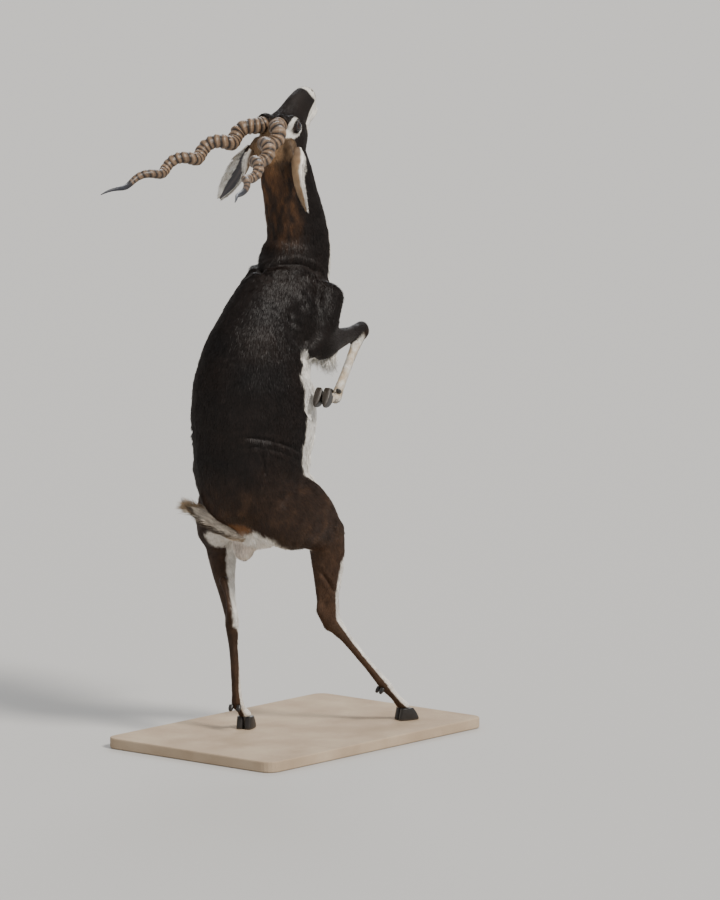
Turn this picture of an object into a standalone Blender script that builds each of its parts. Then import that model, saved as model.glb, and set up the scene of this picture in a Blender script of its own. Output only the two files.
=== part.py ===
"""A male blackbuck rearing on its hind legs: a still museum model on a plain base.

Lengths are in metres. A place on the animal is (ahead, left, up): ahead is towards its nose, and up
starts at the top of the base. In the model's own frame the animal faces -Y and its left side is +X.
"""

import math

import bmesh
import bpy
import numpy as np
from mathutils import Matrix, Vector
from mathutils.bvhtree import BVHTree

# Base, and where the animal stands on it
BASE_THICK = 0.025
BASE_LONG = 0.76
BASE_WIDE = 0.50
BASE_CORNER = 0.03
BASE_EDGE = 0.003
BASE_AHEAD = 0.16
BASE_LEFT = -0.03

# Fits between neighbouring nodes
GAP = 0.0003
SOCKET_GAP = 0.0004
PARTING = 0.0004

# Meshing
VOXEL = 0.003
TAIL_VOXEL = 0.0016
EVEN_TRIANGLES = 11000
FLESH_TRIANGLES = 5600
TAIL_TRIANGLES = 700
SMALLEST_PIECE = 0.02

# Head frame: the middle between the eyes, and how far the head is turned and raised
HEAD_AT = (0.143, 0.0, 1.384)
HEAD_YAW = math.radians(11)
HEAD_PITCH = math.radians(31)

# Eyes
EYE_RADIUS = 0.0150
EYE_SIDE = 0.0375
LID_OPEN_LONG = 0.0128
LID_OPEN_TALL = 0.0098
LID_CREASE_LONG = 0.0205
LID_CREASE_TALL = 0.0168

# Ears
EAR_ROOT = (-0.056, 0.0475, -0.026)
EAR_WAYS = {"right": (-0.047, -0.084, -0.128), "left": (-0.024, 0.083, -0.118)}
EAR_OPENINGS = {"right": (0.7, -0.6, 0.25), "left": (-0.85, 0.10, 0.10)}
EAR_WALL = 0.0030

# Horns
HORN_AT = (-0.026, 0.021, 0.028)
HORN_LENGTH = 0.508
HORN_TURNS = 4.6
HORN_RIDGES = 31
HORN_RINGED = 0.80
HORN_COIL = 0.0105
HORN_SPREAD = math.radians(17.8)
HORN_DROP = math.radians(15.0)
HORN_ROOT_RIDGES = 8

# Feet
CLAW_TALL = 0.028
CLAW_SPREAD = 0.0098
CLAW_LONG = 0.049
FORE_CLAW_SLANT = math.radians(50)

# Skeleton landmarks. A row of a limb is (ahead, left, up, half width, half depth).
HIND = {
    "right": {
        "thigh": [
            (0.045, -0.060, 0.545, 0.060, 0.100),
            (0.100, -0.076, 0.512, 0.060, 0.095),
            (0.150, -0.085, 0.485, 0.052, 0.074),
            (0.190, -0.089, 0.455, 0.043, 0.052),
        ],
        "shank": [
            (0.192, -0.089, 0.462, 0.041, 0.050),
            (0.202, -0.089, 0.405, 0.035, 0.045),
            (0.204, -0.089, 0.350, 0.028, 0.038),
            (0.205, -0.088, 0.300, 0.019, 0.031),
            (0.214, -0.087, 0.255, 0.017, 0.028),
        ],
        "hock": (0.217, -0.087, 0.247),
        "heel": (0.174, -0.086, 0.276),
        "tendon": (0.176, -0.088, 0.345),
        "fetlock": (0.332, -0.155, 0.085),
        "tip": (0.417, -0.175, 0.0),
        "toe": (0.92, -0.39, 0.0),
        "ahead": (0.97, -0.22, 0.0),
    },
    "left": {
        "thigh": [
            (0.045, 0.066, 0.545, 0.062, 0.100),
            (0.064, 0.096, 0.503, 0.060, 0.092),
            (0.080, 0.122, 0.463, 0.052, 0.074),
            (0.094, 0.138, 0.430, 0.043, 0.052),
        ],
        "shank": [
            (0.094, 0.138, 0.435, 0.041, 0.050),
            (0.084, 0.128, 0.395, 0.035, 0.044),
            (0.064, 0.105, 0.352, 0.027, 0.036),
            (0.042, 0.075, 0.305, 0.019, 0.030),
            (0.027, 0.050, 0.265, 0.016, 0.026),
        ],
        "hock": (0.024, 0.047, 0.255),
        "heel": (-0.012, 0.022, 0.287),
        "tendon": (0.024, 0.072, 0.350),
        "fetlock": (0.030, 0.036, 0.064),
        "tip": (0.097, 0.054, 0.0),
        "toe": (0.93, 0.32, 0.0),
        "ahead": (0.82, 0.57, 0.0),
    },
}
FORE = {
    "right": {
        "point": (0.222, -0.074, 1.000),
        "elbow": (0.152, -0.103, 0.888),
        "carpus": (0.324, -0.088, 0.908),
        "fetlock": (0.203, -0.114, 0.767),
        "tip": (0.100, -0.150, 0.760),
        "side": -1,
    },
    "left": {
        "point": (0.222, 0.074, 1.000),
        "elbow": (0.150, 0.103, 0.888),
        "carpus": (0.308, 0.100, 0.938),
        "fetlock": (0.212, 0.122, 0.783),
        "tip": (0.110, 0.145, 0.765),
        "side": 1,
    },
}
TAIL = [
    (0.045, -0.012, 0.456, 0.015, 0.012),
    (0.000, 0.000, 0.461, 0.017, 0.013),
    (-0.034, 0.016, 0.478, 0.017, 0.012),
    (-0.058, 0.039, 0.498, 0.014, 0.010),
    (-0.072, 0.058, 0.513, 0.010, 0.008),
    (-0.078, 0.068, 0.519, 0.006, 0.005),
]
TAIL_LOCKS = 16

# Trunk and neck: rows of (ahead, up, half width, half depth) in the middle plane
TRUNK = [
    (0.062, 0.470, 0.075, 0.070),
    (0.055, 0.520, 0.105, 0.118),
    (0.042, 0.590, 0.118, 0.142),
    (0.040, 0.650, 0.124, 0.148),
    (0.048, 0.720, 0.132, 0.160),
    (0.048, 0.790, 0.128, 0.156),
    (0.060, 0.850, 0.115, 0.145),
    (0.098, 0.915, 0.099, 0.130),
    (0.136, 0.970, 0.087, 0.121),
    (0.165, 1.015, 0.075, 0.107),
    (0.186, 1.055, 0.067, 0.097),
    (0.196, 1.095, 0.066, 0.093),
]
NECK = [
    (0.186, 1.040, 0.074, 0.104),
    (0.200, 1.085, 0.067, 0.096),
    (0.203, 1.120, 0.061, 0.089),
    (0.196, 1.160, 0.057, 0.083),
    (0.184, 1.200, 0.054, 0.078),
    (0.171, 1.240, 0.052, 0.074),
    (0.159, 1.280, 0.050, 0.070),
    (0.145, 1.320, 0.046, 0.064),
    (0.127, 1.352, 0.040, 0.052),
]

# Head: rows of (forward, top, bottom, half width, egg) in the head frame
SKULL = [
    (-0.084, 0.004, -0.050, 0.024, 0.0),
    (-0.070, 0.020, -0.078, 0.036, 0.05),
    (-0.046, 0.034, -0.102, 0.0440, 0.08),
    (-0.020, 0.0400, -0.110, 0.0465, 0.10),
    (0.005, 0.0385, -0.104, 0.0450, 0.14),
    (0.030, 0.0350, -0.094, 0.0385, 0.12),
    (0.055, 0.0330, -0.081, 0.0310, 0.10),
    (0.080, 0.0315, -0.071, 0.0268, 0.06),
    (0.104, 0.0270, -0.063, 0.0252, 0.0),
    (0.122, 0.0205, -0.0575, 0.0252, -0.02),
    (0.135, 0.0105, -0.0530, 0.0228, -0.04),
    (0.143, -0.0010, -0.0480, 0.0170, -0.04),
]

# Finishes: base colour, roughness, metallic
FINISHES = {
    "coat": ((0.060, 0.036, 0.026), 0.55, 0.0),
    "tail_hair": ((0.36, 0.24, 0.14), 0.70, 0.0),
    "horn": ((0.115, 0.075, 0.050), 0.45, 0.0),
    "hoof": ((0.030, 0.026, 0.024), 0.50, 0.0),
    "eye": ((0.030, 0.016, 0.010), 0.05, 0.0),
    "board": ((0.52, 0.42, 0.31), 0.75, 0.0),
}


def unit(v):
    v = np.asarray(v, float)
    return v / np.linalg.norm(v)


def place(ahead, left, up):
    return np.array([left - BASE_LEFT, BASE_AHEAD - ahead, up + BASE_THICK])


def direction(ahead, left, up):
    return unit([left, -ahead, up])


UP = direction(0, 0, 1)
LEFTWARD = direction(0, 1, 0)
FORWARD = direction(
    math.cos(HEAD_PITCH) * math.cos(HEAD_YAW),
    math.cos(HEAD_PITCH) * math.sin(HEAD_YAW),
    math.sin(HEAD_PITCH),
)
RIGHTWARD = direction(math.sin(HEAD_YAW), -math.cos(HEAD_YAW), 0.0)
RAISED = unit(np.cross(RIGHTWARD, FORWARD))


def head(forward, right, raised):
    """A place on the head, from the middle between the eyes."""
    return place(*HEAD_AT) + forward * FORWARD + right * RIGHTWARD + raised * RAISED


def square_to(along, side):
    """Three directions at right angles: along, to the side and across."""
    a = unit(along)
    s = unit(np.asarray(side, float) - np.dot(side, a) * a)
    return a, s, np.cross(a, s)


def frame_matrix(centre, x_way, y_way, z_way):
    matrix = Matrix.Identity(4)
    for column, way in enumerate((x_way, y_way, z_way)):
        for axis in range(3):
            matrix[axis][column] = way[axis]
    for axis in range(3):
        matrix[axis][3] = centre[axis]
    return matrix


# Collections, objects and materials


def collection_named(name):
    collection = bpy.data.collections.new(name)
    bpy.context.scene.collection.children.link(collection)
    return collection


def add_object(name, data, collection, matrix=None):
    obj = bpy.data.objects.new(name, data)
    bpy.data.collections[collection].objects.link(obj)
    if matrix is not None:
        obj.matrix_world = matrix
    return obj


def add_cutter(mesh, name):
    cutter = add_object(name, mesh, "cutters")
    cutter.hide_render = True
    cutter.display_type = "WIRE"
    return cutter


def material(finish):
    if finish in bpy.data.materials:
        return bpy.data.materials[finish]
    colour, roughness, metallic = FINISHES[finish]
    made = bpy.data.materials.new(finish)
    made.use_nodes = True
    shader = made.node_tree.nodes["Principled BSDF"]
    shader.inputs["Base Color"].default_value = (*colour, 1.0)
    shader.inputs["Roughness"].default_value = roughness
    shader.inputs["Metallic"].default_value = metallic
    made.diffuse_color = (*colour, 1.0)
    return made


def add_part(name, mesh, finish, parent, matrix=None, sharp=50):
    """A finished part of the model, shaded smooth except at its sharp edges."""
    part = add_object(name, mesh, "blackbuck", matrix)
    part.parent = parent
    mesh.materials.clear()
    mesh.materials.append(material(finish))
    mesh.shade_smooth()
    mesh.set_sharp_from_angle(angle=math.radians(sharp))
    return part


# Shapes. Each gives a closed mesh with its faces pointing out.


def mesh_from(bm, name="shape"):
    """A mesh of triangles, so that a part and its socket fold along the same lines."""
    bmesh.ops.recalc_face_normals(bm, faces=bm.faces)
    bmesh.ops.triangulate(bm, faces=bm.faces, quad_method="FIXED")
    mesh = bpy.data.meshes.new(name)
    bm.to_mesh(mesh)
    bm.free()
    return mesh


def ring_mesh(rings):
    """Faces between rings of equal count, with a fan at each end."""
    bm = bmesh.new()
    grid = [[bm.verts.new(Vector(spot)) for spot in ring] for ring in rings]
    count = len(grid[0])
    for low, high in zip(grid, grid[1:]):
        for j in range(count):
            k = (j + 1) % count
            bm.faces.new((low[j], low[k], high[k], high[j]))
    for ring, spots in ((grid[0], rings[0]), (grid[-1], rings[-1])):
        centre = bm.verts.new(Vector(np.mean(spots, axis=0)))
        for j in range(count):
            bm.faces.new((ring[j], ring[(j + 1) % count], centre))
    return mesh_from(bm)


def smooth_rows(rows, steps):
    """A smooth curve through the rows, with this many steps between each two."""
    rows = np.array(rows, float)
    ends = np.vstack([2 * rows[0] - rows[1], rows, 2 * rows[-1] - rows[-2]])
    out = []
    for i in range(len(rows) - 1):
        before, start, end, after = ends[i:i + 4]
        for k in range(steps):
            t = k / steps
            slope = (end - before) * t
            bend = (2 * before - 5 * start + 4 * end - after) * t**2
            ease = (3 * start - before - 3 * end + after) * t**3
            out.append(0.5 * (2 * start + slope + bend + ease))
    out.append(rows[-1])
    return np.array(out)


def loft(rows, side, sides=20, steps=4, dome=0.7):
    """A body through rows of x, y, z, half width, half depth and egg, with domed ends.

    A positive egg makes a section wider on its deep side.
    """
    rows = smooth_rows(rows, steps)
    rows[:, 3:5] = np.maximum(rows[:, 3:5], 0.001)
    tangents = [unit(t) for t in np.gradient(rows[:, :3], axis=0)]
    spots = [(row[:3], tangent, row[3], row[4], row[5]) for row, tangent in zip(rows, tangents)]
    if dome:
        for end, sign in ((0, -1), (-1, 1)):
            centre, tangent, wide, deep, egg = spots[end]
            reach = sign * tangent * min(wide, deep) * dome
            caps = [
                (centre + reach * out, tangent, wide * k, deep * k, egg)
                for out, k in ((0.55, 0.83), (0.9, 0.45))
            ]
            spots = caps[::-1] + spots if end == 0 else spots + caps
    turns = np.linspace(0, 2 * math.pi, sides, endpoint=False)
    rings = []
    for centre, tangent, wide, deep, egg in spots:
        s = unit(side - np.dot(side, tangent) * tangent)
        d = np.cross(s, tangent)
        ring = []
        for t in turns:
            half = wide * math.cos(t) * (1 + egg * math.sin(t))
            ring.append(centre + s * half + d * deep * math.sin(t))
        rings.append(ring)
    return ring_mesh(rings)


def between(start, end, sections, side, sides=16):
    """A limb from start to end, through sections of (share, half width, half depth)."""
    rows = [[*(start + (end - start) * share), wide, deep, 0.0] for share, wide, deep in sections]
    return loft(rows, side, sides)


def ball(centre, radii, along, side, around=16, levels=11):
    """An ellipsoid, with its radii along, to the side and across."""
    a, s, c = square_to(along, side)
    bm = bmesh.new()
    turned = frame_matrix(centre, s * radii[1], c * radii[2], a * radii[0])
    bmesh.ops.create_uvsphere(bm, u_segments=around, v_segments=levels, radius=1.0, matrix=turned)
    return mesh_from(bm)


def box(centre, ways, halves):
    """A box with its own directions."""
    bm = bmesh.new()
    x_way, y_way, z_way = (way * half * 2 for way, half in zip(ways, halves))
    bmesh.ops.create_cube(bm, size=1.0, matrix=frame_matrix(centre, x_way, y_way, z_way))
    return mesh_from(bm)


def plate(centre, normal, half, half_other=None, side=None):
    """A thin plate that parts two nodes."""
    n = unit(normal)
    if side is None:
        side = UP if abs(n[2]) < 0.9 else LEFTWARD
    s = unit(np.cross(n, side))
    return box(centre, (s, np.cross(n, s), n), (half, half_other or half, PARTING / 2))


def tube(path, radii, resolution=1):
    """A round bar along a path, from a curve whose caps are welded."""
    radii = np.broadcast_to(radii, len(path))
    curve = bpy.data.curves.new("bar", "CURVE")
    curve.dimensions = "3D"
    curve.bevel_depth = 1.0
    curve.bevel_resolution = resolution
    curve.use_fill_caps = True
    spline = curve.splines.new("POLY")
    spline.points.add(len(path) - 1)
    for point, spot, radius in zip(spline.points, path, radii):
        point.co = (*spot, 1.0)
        point.radius = radius
    guide = add_object("bar", curve, "cutters")
    mesh = bpy.data.meshes.new_from_object(guide.evaluated_get(bpy.context.evaluated_depsgraph_get()))
    bpy.data.objects.remove(guide)
    bpy.data.curves.remove(curve)
    bm = bmesh.new()
    bm.from_mesh(mesh)
    bmesh.ops.remove_doubles(bm, verts=bm.verts, dist=0.00002)
    bpy.data.meshes.remove(mesh)
    return mesh_from(bm)


def joined(meshes):
    """Several closed shapes in one mesh."""
    bm = bmesh.new()
    for mesh in meshes:
        bm.from_mesh(mesh)
        bpy.data.meshes.remove(mesh)
    mesh = bpy.data.meshes.new("shapes")
    bm.to_mesh(mesh)
    bm.free()
    return mesh


def grown(mesh, by):
    """A copy of the shape with every face moved out."""
    bm = bmesh.new()
    bm.from_mesh(mesh)
    moves = []
    for vert in bm.verts:
        mean = sum((face.normal for face in vert.link_faces), Vector()).normalized()
        lean = min(max(mean.dot(face.normal), 0.45) for face in vert.link_faces)
        moves.append(mean * (by / lean))
    for vert, move in zip(bm.verts, moves):
        vert.co += move
    return mesh_from(bm)


def evaluated(obj, name):
    """The object with its modifiers applied."""
    graph = bpy.context.evaluated_depsgraph_get()
    mesh = bpy.data.meshes.new_from_object(obj.evaluated_get(graph))
    made = add_cutter(mesh, name)
    bpy.data.objects.remove(obj)
    return made


def coordinates(mesh):
    out = np.empty(len(mesh.vertices) * 3)
    mesh.vertices.foreach_get("co", out)
    return out.reshape(-1, 3)


def polygons(mesh):
    return [tuple(polygon.vertices) for polygon in mesh.polygons]


def mesh_of(points, faces, name):
    mesh = bpy.data.meshes.new(name)
    mesh.from_pydata([tuple(p) for p in points], [], faces)
    mesh.validate()
    return mesh


# Limb frames


def fore_foot_frame(leg):
    """Pastern, front, toe and up directions of a folded forefoot."""
    fetlock, tip = place(*leg["fetlock"]), place(*leg["tip"])
    pastern = unit(tip - fetlock)
    front = unit(np.dot(UP, pastern) * pastern - UP)
    toe = math.cos(FORE_CLAW_SLANT) * pastern + math.sin(FORE_CLAW_SLANT) * front
    up = math.cos(FORE_CLAW_SLANT) * front - math.sin(FORE_CLAW_SLANT) * pastern
    return pastern, front, toe, up


def foot_frames():
    """Each foot's end, side, tip, toe and up directions, fetlock, back, down and inward side."""
    for side, leg in HIND.items():
        toe = direction(*leg["toe"])
        tip = place(*leg["tip"]) + UP * GAP
        yield "hind", side, tip, toe, UP, place(*leg["fetlock"]), -toe, -UP
    for side, leg in FORE.items():
        pastern, front, toe, up = fore_foot_frame(leg)
        yield "fore", side, place(*leg["tip"]), toe, up, place(*leg["fetlock"]), -front, pastern


def coronet(tip, toe, up):
    return tip - toe * 0.031 + up * 0.029


def eye_frame(side):
    """Where an eye is and which way it looks. Side is 1 for the right eye."""
    centre = head(0.000, EYE_SIDE * side, 0.0015)
    look = unit(RIGHTWARD * side * 0.93 + FORWARD * 0.33 + RAISED * 0.10)
    return centre, look


# Flesh


def trunk_shapes():
    middle = [[*place(ahead, 0.0, up), wide, deep, 0.0] for ahead, up, wide, deep in TRUNK]
    neck = [[*place(ahead, 0.0, up), wide, deep, 0.0] for ahead, up, wide, deep in NECK]
    shapes = [loft(middle, LEFTWARD, sides=32), loft(neck, LEFTWARD, sides=28)]

    # Withers and breastbone
    shapes.append(ball(place(0.103, 0, 1.020), (0.066, 0.040, 0.038), direction(0.55, 0, 0.6), LEFTWARD))
    shapes.append(ball(place(0.226, 0, 0.985), (0.070, 0.048, 0.042), direction(-0.15, 0, 1), LEFTWARD))
    for s in (-1, 1):
        # Shoulder blade, upper arm and breast muscle
        outward = direction(0, s, 0.3)
        blade_way = direction(0.9, 0.25 * s, -0.42)
        arm_way = direction(0.28, 0.24 * s, -0.9)
        chest_way = direction(0.1, 0, 1)
        shapes.append(ball(place(0.154, 0.052 * s, 1.018), (0.092, 0.030, 0.050), blade_way, outward))
        shapes.append(ball(place(0.130, 0.074 * s, 0.960), (0.080, 0.033, 0.045), arm_way, outward))
        shapes.append(
            ball(place(0.212, 0.042 * s, 1.002), (0.056, 0.036, 0.048), chest_way, direction(0, s, 0))
        )

    # Croup, seat bones and haunches
    shapes.append(ball(place(0.000, 0, 0.560), (0.085, 0.062, 0.062), direction(0.45, 0, -0.8), LEFTWARD))
    for s in (-1, 1):
        seat_way = direction(0.35, 0, -0.8)
        rump_way = direction(0.25, 0, -0.9)
        shapes.append(ball(place(0.028, 0.062 * s, 0.505), (0.072, 0.046, 0.052), seat_way, LEFTWARD))
        shapes.append(ball(place(-0.030, 0.060 * s, 0.610), (0.065, 0.045, 0.045), rump_way, LEFTWARD))

    # The parts below the tail and the sheath on the belly
    pouch_way = direction(0.2, 0.2, -1)
    shapes.append(ball(place(0.034, 0.018, 0.430), (0.036, 0.029, 0.030), pouch_way, LEFTWARD))
    shapes.append(ball(place(0.178, 0, 0.590), (0.036, 0.014, 0.018), direction(0.1, 0, 1), LEFTWARD))
    return shapes


def head_shapes():
    rows = [
        [*head(forward, 0.0, (top + bottom) / 2), wide, (top - bottom) / 2, egg]
        for forward, top, bottom, wide, egg in SKULL
    ]
    shapes = [loft(rows, -RIGHTWARD, sides=28, dome=0.55)]
    for s in (1, -1):
        # Eye socket, brow, cheek and the ridge below the eye
        shapes.append(ball(head(0.000, 0.036 * s, 0.002), (0.0235, 0.0150, 0.0200), FORWARD, RIGHTWARD))
        shapes.append(ball(head(-0.006, 0.033 * s, 0.021), (0.022, 0.013, 0.011), FORWARD, RIGHTWARD))
        shapes.append(ball(head(-0.030, 0.028 * s, -0.060), (0.042, 0.019, 0.040), FORWARD, RIGHTWARD))
        cheek_way = FORWARD - 0.25 * RAISED
        wing_way = FORWARD - 0.5 * RAISED
        shapes.append(ball(head(0.020, 0.033 * s, -0.022), (0.034, 0.009, 0.012), cheek_way, RIGHTWARD))
        # Nostril wing, upper lip and lower lip
        shapes.append(ball(head(0.129, 0.015 * s, -0.004), (0.0125, 0.0100, 0.0105), wing_way, RIGHTWARD))
        shapes.append(ball(head(0.112, 0.0175 * s, -0.0225), (0.026, 0.0085, 0.0095), FORWARD, RIGHTWARD))
        shapes.append(ball(head(0.112, 0.0150 * s, -0.0470), (0.028, 0.0085, 0.0090), FORWARD, RIGHTWARD))
        # Horn root and ear root
        horn_root = [
            [*head(-0.010, 0.0205 * s, 0.012), 0.0205, 0.0205, 0.0],
            [*head(-0.024, 0.0212 * s, 0.031), 0.0205, 0.0205, 0.0],
        ]
        shapes.append(loft(horn_root, RIGHTWARD, sides=16, steps=2))
        ear_root = [
            [*head(-0.040, 0.0360 * s, -0.018), 0.0200, 0.0180, 0.0],
            [*head(-0.060, 0.0490 * s, -0.029), 0.0175, 0.0165, 0.0],
            [*head(-0.072, 0.0565 * s, -0.037), 0.0150, 0.0145, 0.0],
        ]
        shapes.append(loft(ear_root, RAISED, sides=14, steps=3, dome=0.4))
    # Nose pad and chin
    nose_way = FORWARD - 0.35 * RAISED
    shapes.append(ball(head(0.137, 0, -0.006), (0.0105, 0.0150, 0.0110), nose_way, RIGHTWARD))
    shapes.append(ball(head(0.138, 0, -0.0445), (0.0125, 0.0140, 0.0100), FORWARD, RIGHTWARD))
    return shapes


def hind_leg_shapes(leg):
    ahead = direction(*leg["ahead"])
    side = unit(np.cross(UP, ahead))
    hock, heel, tendon, fetlock = (place(*leg[key]) for key in ("hock", "heel", "tendon", "fetlock"))
    toe = direction(*leg["toe"])
    crown = coronet(place(*leg["tip"]), toe, UP)
    down = fetlock - hock
    thigh = [[*place(*key[:3]), *key[3:], 0.0] for key in leg["thigh"]]
    shank = [[*place(*key[:3]), *key[3:], 0.0] for key in leg["shank"]]
    shapes = [loft(thigh, LEFTWARD, sides=24), loft(shank, side, sides=20)]

    # Hock, point of the heel, the tendon above it and the thin web before the tendon
    shapes.append(ball(hock, (0.030, 0.0175, 0.026), UP, side))
    heel_rows = [(0, 0.0150, 0.0175), (0.6, 0.0115, 0.0150), (1, 0.0100, 0.0110)]
    tendon_rows = [(0, 0.0090, 0.0090), (0.45, 0.0060, 0.0066), (1, 0.0130, 0.0140)]
    web_rows = [(0, 0.0055, 0.017), (0.5, 0.0045, 0.014), (1, 0.009, 0.015)]
    shapes.append(between(hock - UP * 0.01, heel, heel_rows, side))
    shapes.append(between(heel, tendon, tendon_rows, side))
    web_low = heel + (hock - heel) * 0.50 + UP * 0.006
    web_high = tendon + ahead * 0.012
    shapes.append(between(web_low, web_high, web_rows, side))

    # Cannon, the tendon behind it, fetlock and pastern
    cannon = [
        (0.00, 0.0165, 0.0240),
        (0.13, 0.0150, 0.0200),
        (0.30, 0.0125, 0.0150),
        (0.60, 0.0120, 0.0138),
        (0.85, 0.0128, 0.0140),
        (1.00, 0.0150, 0.0165),
    ]
    shapes.append(between(hock, fetlock, cannon, side))
    behind = ahead * -0.0085
    cord = [(0, 0.0085, 0.0085), (0.5, 0.0065, 0.0065), (1, 0.0105, 0.0105)]
    shapes.append(between(hock + down * 0.12 + behind, fetlock + behind * 0.9, cord, side))
    shapes.append(ball(fetlock, (0.0190, 0.0160, 0.0165), down, side))
    pastern = [(0, 0.0145, 0.0150), (0.45, 0.0128, 0.0120), (0.8, 0.0158, 0.0138), (1, 0.0178, 0.0150)]
    shapes.append(between(fetlock, crown + UP * GAP, pastern, side))
    return shapes


def fore_leg_shapes(leg):
    joints = ("point", "elbow", "carpus", "fetlock", "tip")
    point, elbow, carpus, fetlock, tip = (place(*leg[key]) for key in joints)
    _, _, toe, up = fore_foot_frame(leg)
    crown = coronet(tip, toe, up)

    # Upper arm, point of the elbow, forearm and knee
    shapes = [between(point, elbow, [(0, 0.036, 0.046), (0.5, 0.036, 0.044), (1, 0.029, 0.034)], LEFTWARD)]
    elbow_point = elbow + unit(elbow - carpus) * 0.020 + unit(elbow - point) * 0.004
    shapes.append(ball(elbow_point, (0.026, 0.0165, 0.020), elbow - carpus, LEFTWARD))
    forearm = [
        (0.00, 0.0270, 0.0360),
        (0.20, 0.0280, 0.0360),
        (0.45, 0.0225, 0.0270),
        (0.75, 0.0170, 0.0195),
        (0.93, 0.0190, 0.0205),
        (1.00, 0.0190, 0.0205),
    ]
    shapes.append(between(elbow, carpus, forearm, LEFTWARD))
    shapes.append(ball(carpus, (0.0240, 0.0195, 0.0210), fetlock - elbow, LEFTWARD))

    # Cannon, fetlock and pastern
    cannon = [
        (0.00, 0.0180, 0.0190),
        (0.15, 0.0150, 0.0160),
        (0.35, 0.0122, 0.0132),
        (0.70, 0.0118, 0.0126),
        (0.90, 0.0130, 0.0135),
        (1.00, 0.0148, 0.0155),
    ]
    shapes.append(between(carpus, fetlock, cannon, LEFTWARD))
    shapes.append(ball(fetlock, (0.0185, 0.0155, 0.0160), fetlock - carpus, LEFTWARD))
    pastern = [(0, 0.0140, 0.0145), (0.45, 0.0125, 0.0118), (0.8, 0.0155, 0.0135), (1, 0.0175, 0.0150)]
    shapes.append(between(fetlock, crown, pastern, LEFTWARD))

    # The skin that ties the upper arm to the chest
    armpit = elbow + (carpus - elbow) * 0.05 - LEFTWARD * leg["side"] * 0.02
    chest = place(0.158, 0.062 * leg["side"], 0.920)
    shapes.append(between(armpit, chest, [(0, 0.030, 0.030), (1, 0.036, 0.036)], LEFTWARD))
    return shapes


def flesh_shapes():
    """Every soft form, as overlapping closed shapes."""
    shapes = [*trunk_shapes(), *head_shapes()]
    for leg in HIND.values():
        shapes.extend(hind_leg_shapes(leg))
    for leg in FORE.values():
        shapes.extend(fore_leg_shapes(leg))
    return shapes


# Eyes, ears, horns, hooves and tail


def eye(side):
    centre, look = eye_frame(side)
    return ball(centre, (EYE_RADIUS, EYE_RADIUS, EYE_RADIUS), look, FORWARD, around=12, levels=9)


def ear(name):
    """A leaf-shaped cup rolled at its root: an open sheet that Solidify gives its wall."""
    side = 1 if name == "right" else -1
    root = head(EAR_ROOT[0], EAR_ROOT[1] * side, EAR_ROOT[2])
    reach = place(*EAR_WAYS[name]) - place(0, 0, 0)
    axis, opening, across = square_to(reach, direction(*EAR_OPENINGS[name]))
    length = np.linalg.norm(reach)
    bm = bmesh.new()
    bmesh.ops.create_grid(bm, x_segments=11, y_segments=7, size=0.5)
    shares = [(vert.co.x + 0.5, vert.co.y * 2) for vert in bm.verts]
    for vert, (along, turn) in zip(bm.verts, shares):
        half = np.interp(
            along,
            [0, 0.12, 0.3, 0.5, 0.7, 0.85, 0.95, 1],
            [0.0125, 0.0165, 0.0235, 0.0265, 0.0235, 0.0160, 0.0080, 0.0025],
        )
        wrap = math.radians(np.interp(along, [0, 0.15, 0.35, 0.6, 1], [155, 135, 88, 66, 50]))
        radius = half / math.sin(min(wrap, math.pi / 2))
        bow = 0.012 * math.sin(math.pi * along)
        t = wrap * turn
        centre = root + axis * length * along - opening * bow
        vert.co = Vector(centre + radius * (math.sin(t) * across + (1 - math.cos(t)) * opening))
    sheet = bpy.data.meshes.new("ear")
    bm.to_mesh(sheet)
    bm.free()
    obj = add_cutter(sheet, f"ear_{name}_sheet")
    wall = obj.vertex_groups.new(name="wall")
    for i, (along, _) in enumerate(shares):
        wall.add([i], 1.0 - 0.45 * along, "REPLACE")
    solid = obj.modifiers.new("wall", "SOLIDIFY")
    solid.thickness = EAR_WALL
    solid.offset = 0.0
    solid.vertex_group = "wall"
    made = evaluated(obj, f"ear_{name}_solid")
    bm = bmesh.new()
    bm.from_mesh(made.data)
    bpy.data.objects.remove(made)
    return mesh_from(bm)


def horn_way(side):
    """A horn runs back along the head's own plane, spread to its side and a little down."""
    level = unit(FORWARD - np.dot(FORWARD, UP) * UP)
    flat = -level * math.cos(HORN_SPREAD) + RIGHTWARD * side * math.sin(HORN_SPREAD)
    return unit(flat * math.cos(HORN_DROP) - UP * math.sin(HORN_DROP))


def horn_path(side, shares):
    """Centres of the coiled horn. Side is 1 for the right horn."""
    straight, upward, turned = square_to(horn_way(side), UP)
    start = head(HORN_AT[0], HORN_AT[1] * side, HORN_AT[2])
    points = []
    for share in shares:
        swell = np.interp(share, [-0.03, 0.04, 0.14, 0.6, 0.85, 1], [0.15, 0.3, 1, 0.86, 0.45, 0.1])
        coil = HORN_COIL * swell
        angle = 2 * math.pi * HORN_TURNS * (share - 0.095) * -side
        sag = 0.004 * math.sin(math.pi * min(max(share, 0), 1))
        centre = start + straight * HORN_LENGTH * share - upward * sag
        points.append(centre + coil * (math.cos(angle) * upward + math.sin(angle) * turned))
    return points


def horn_radius(share):
    return np.interp(
        share,
        [0, 0.08, 0.33, 0.5, 0.72, 0.88, 0.97, 1],
        [0.0185, 0.0168, 0.0148, 0.0130, 0.0094, 0.0055, 0.0024, 0.0010],
    )


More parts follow.
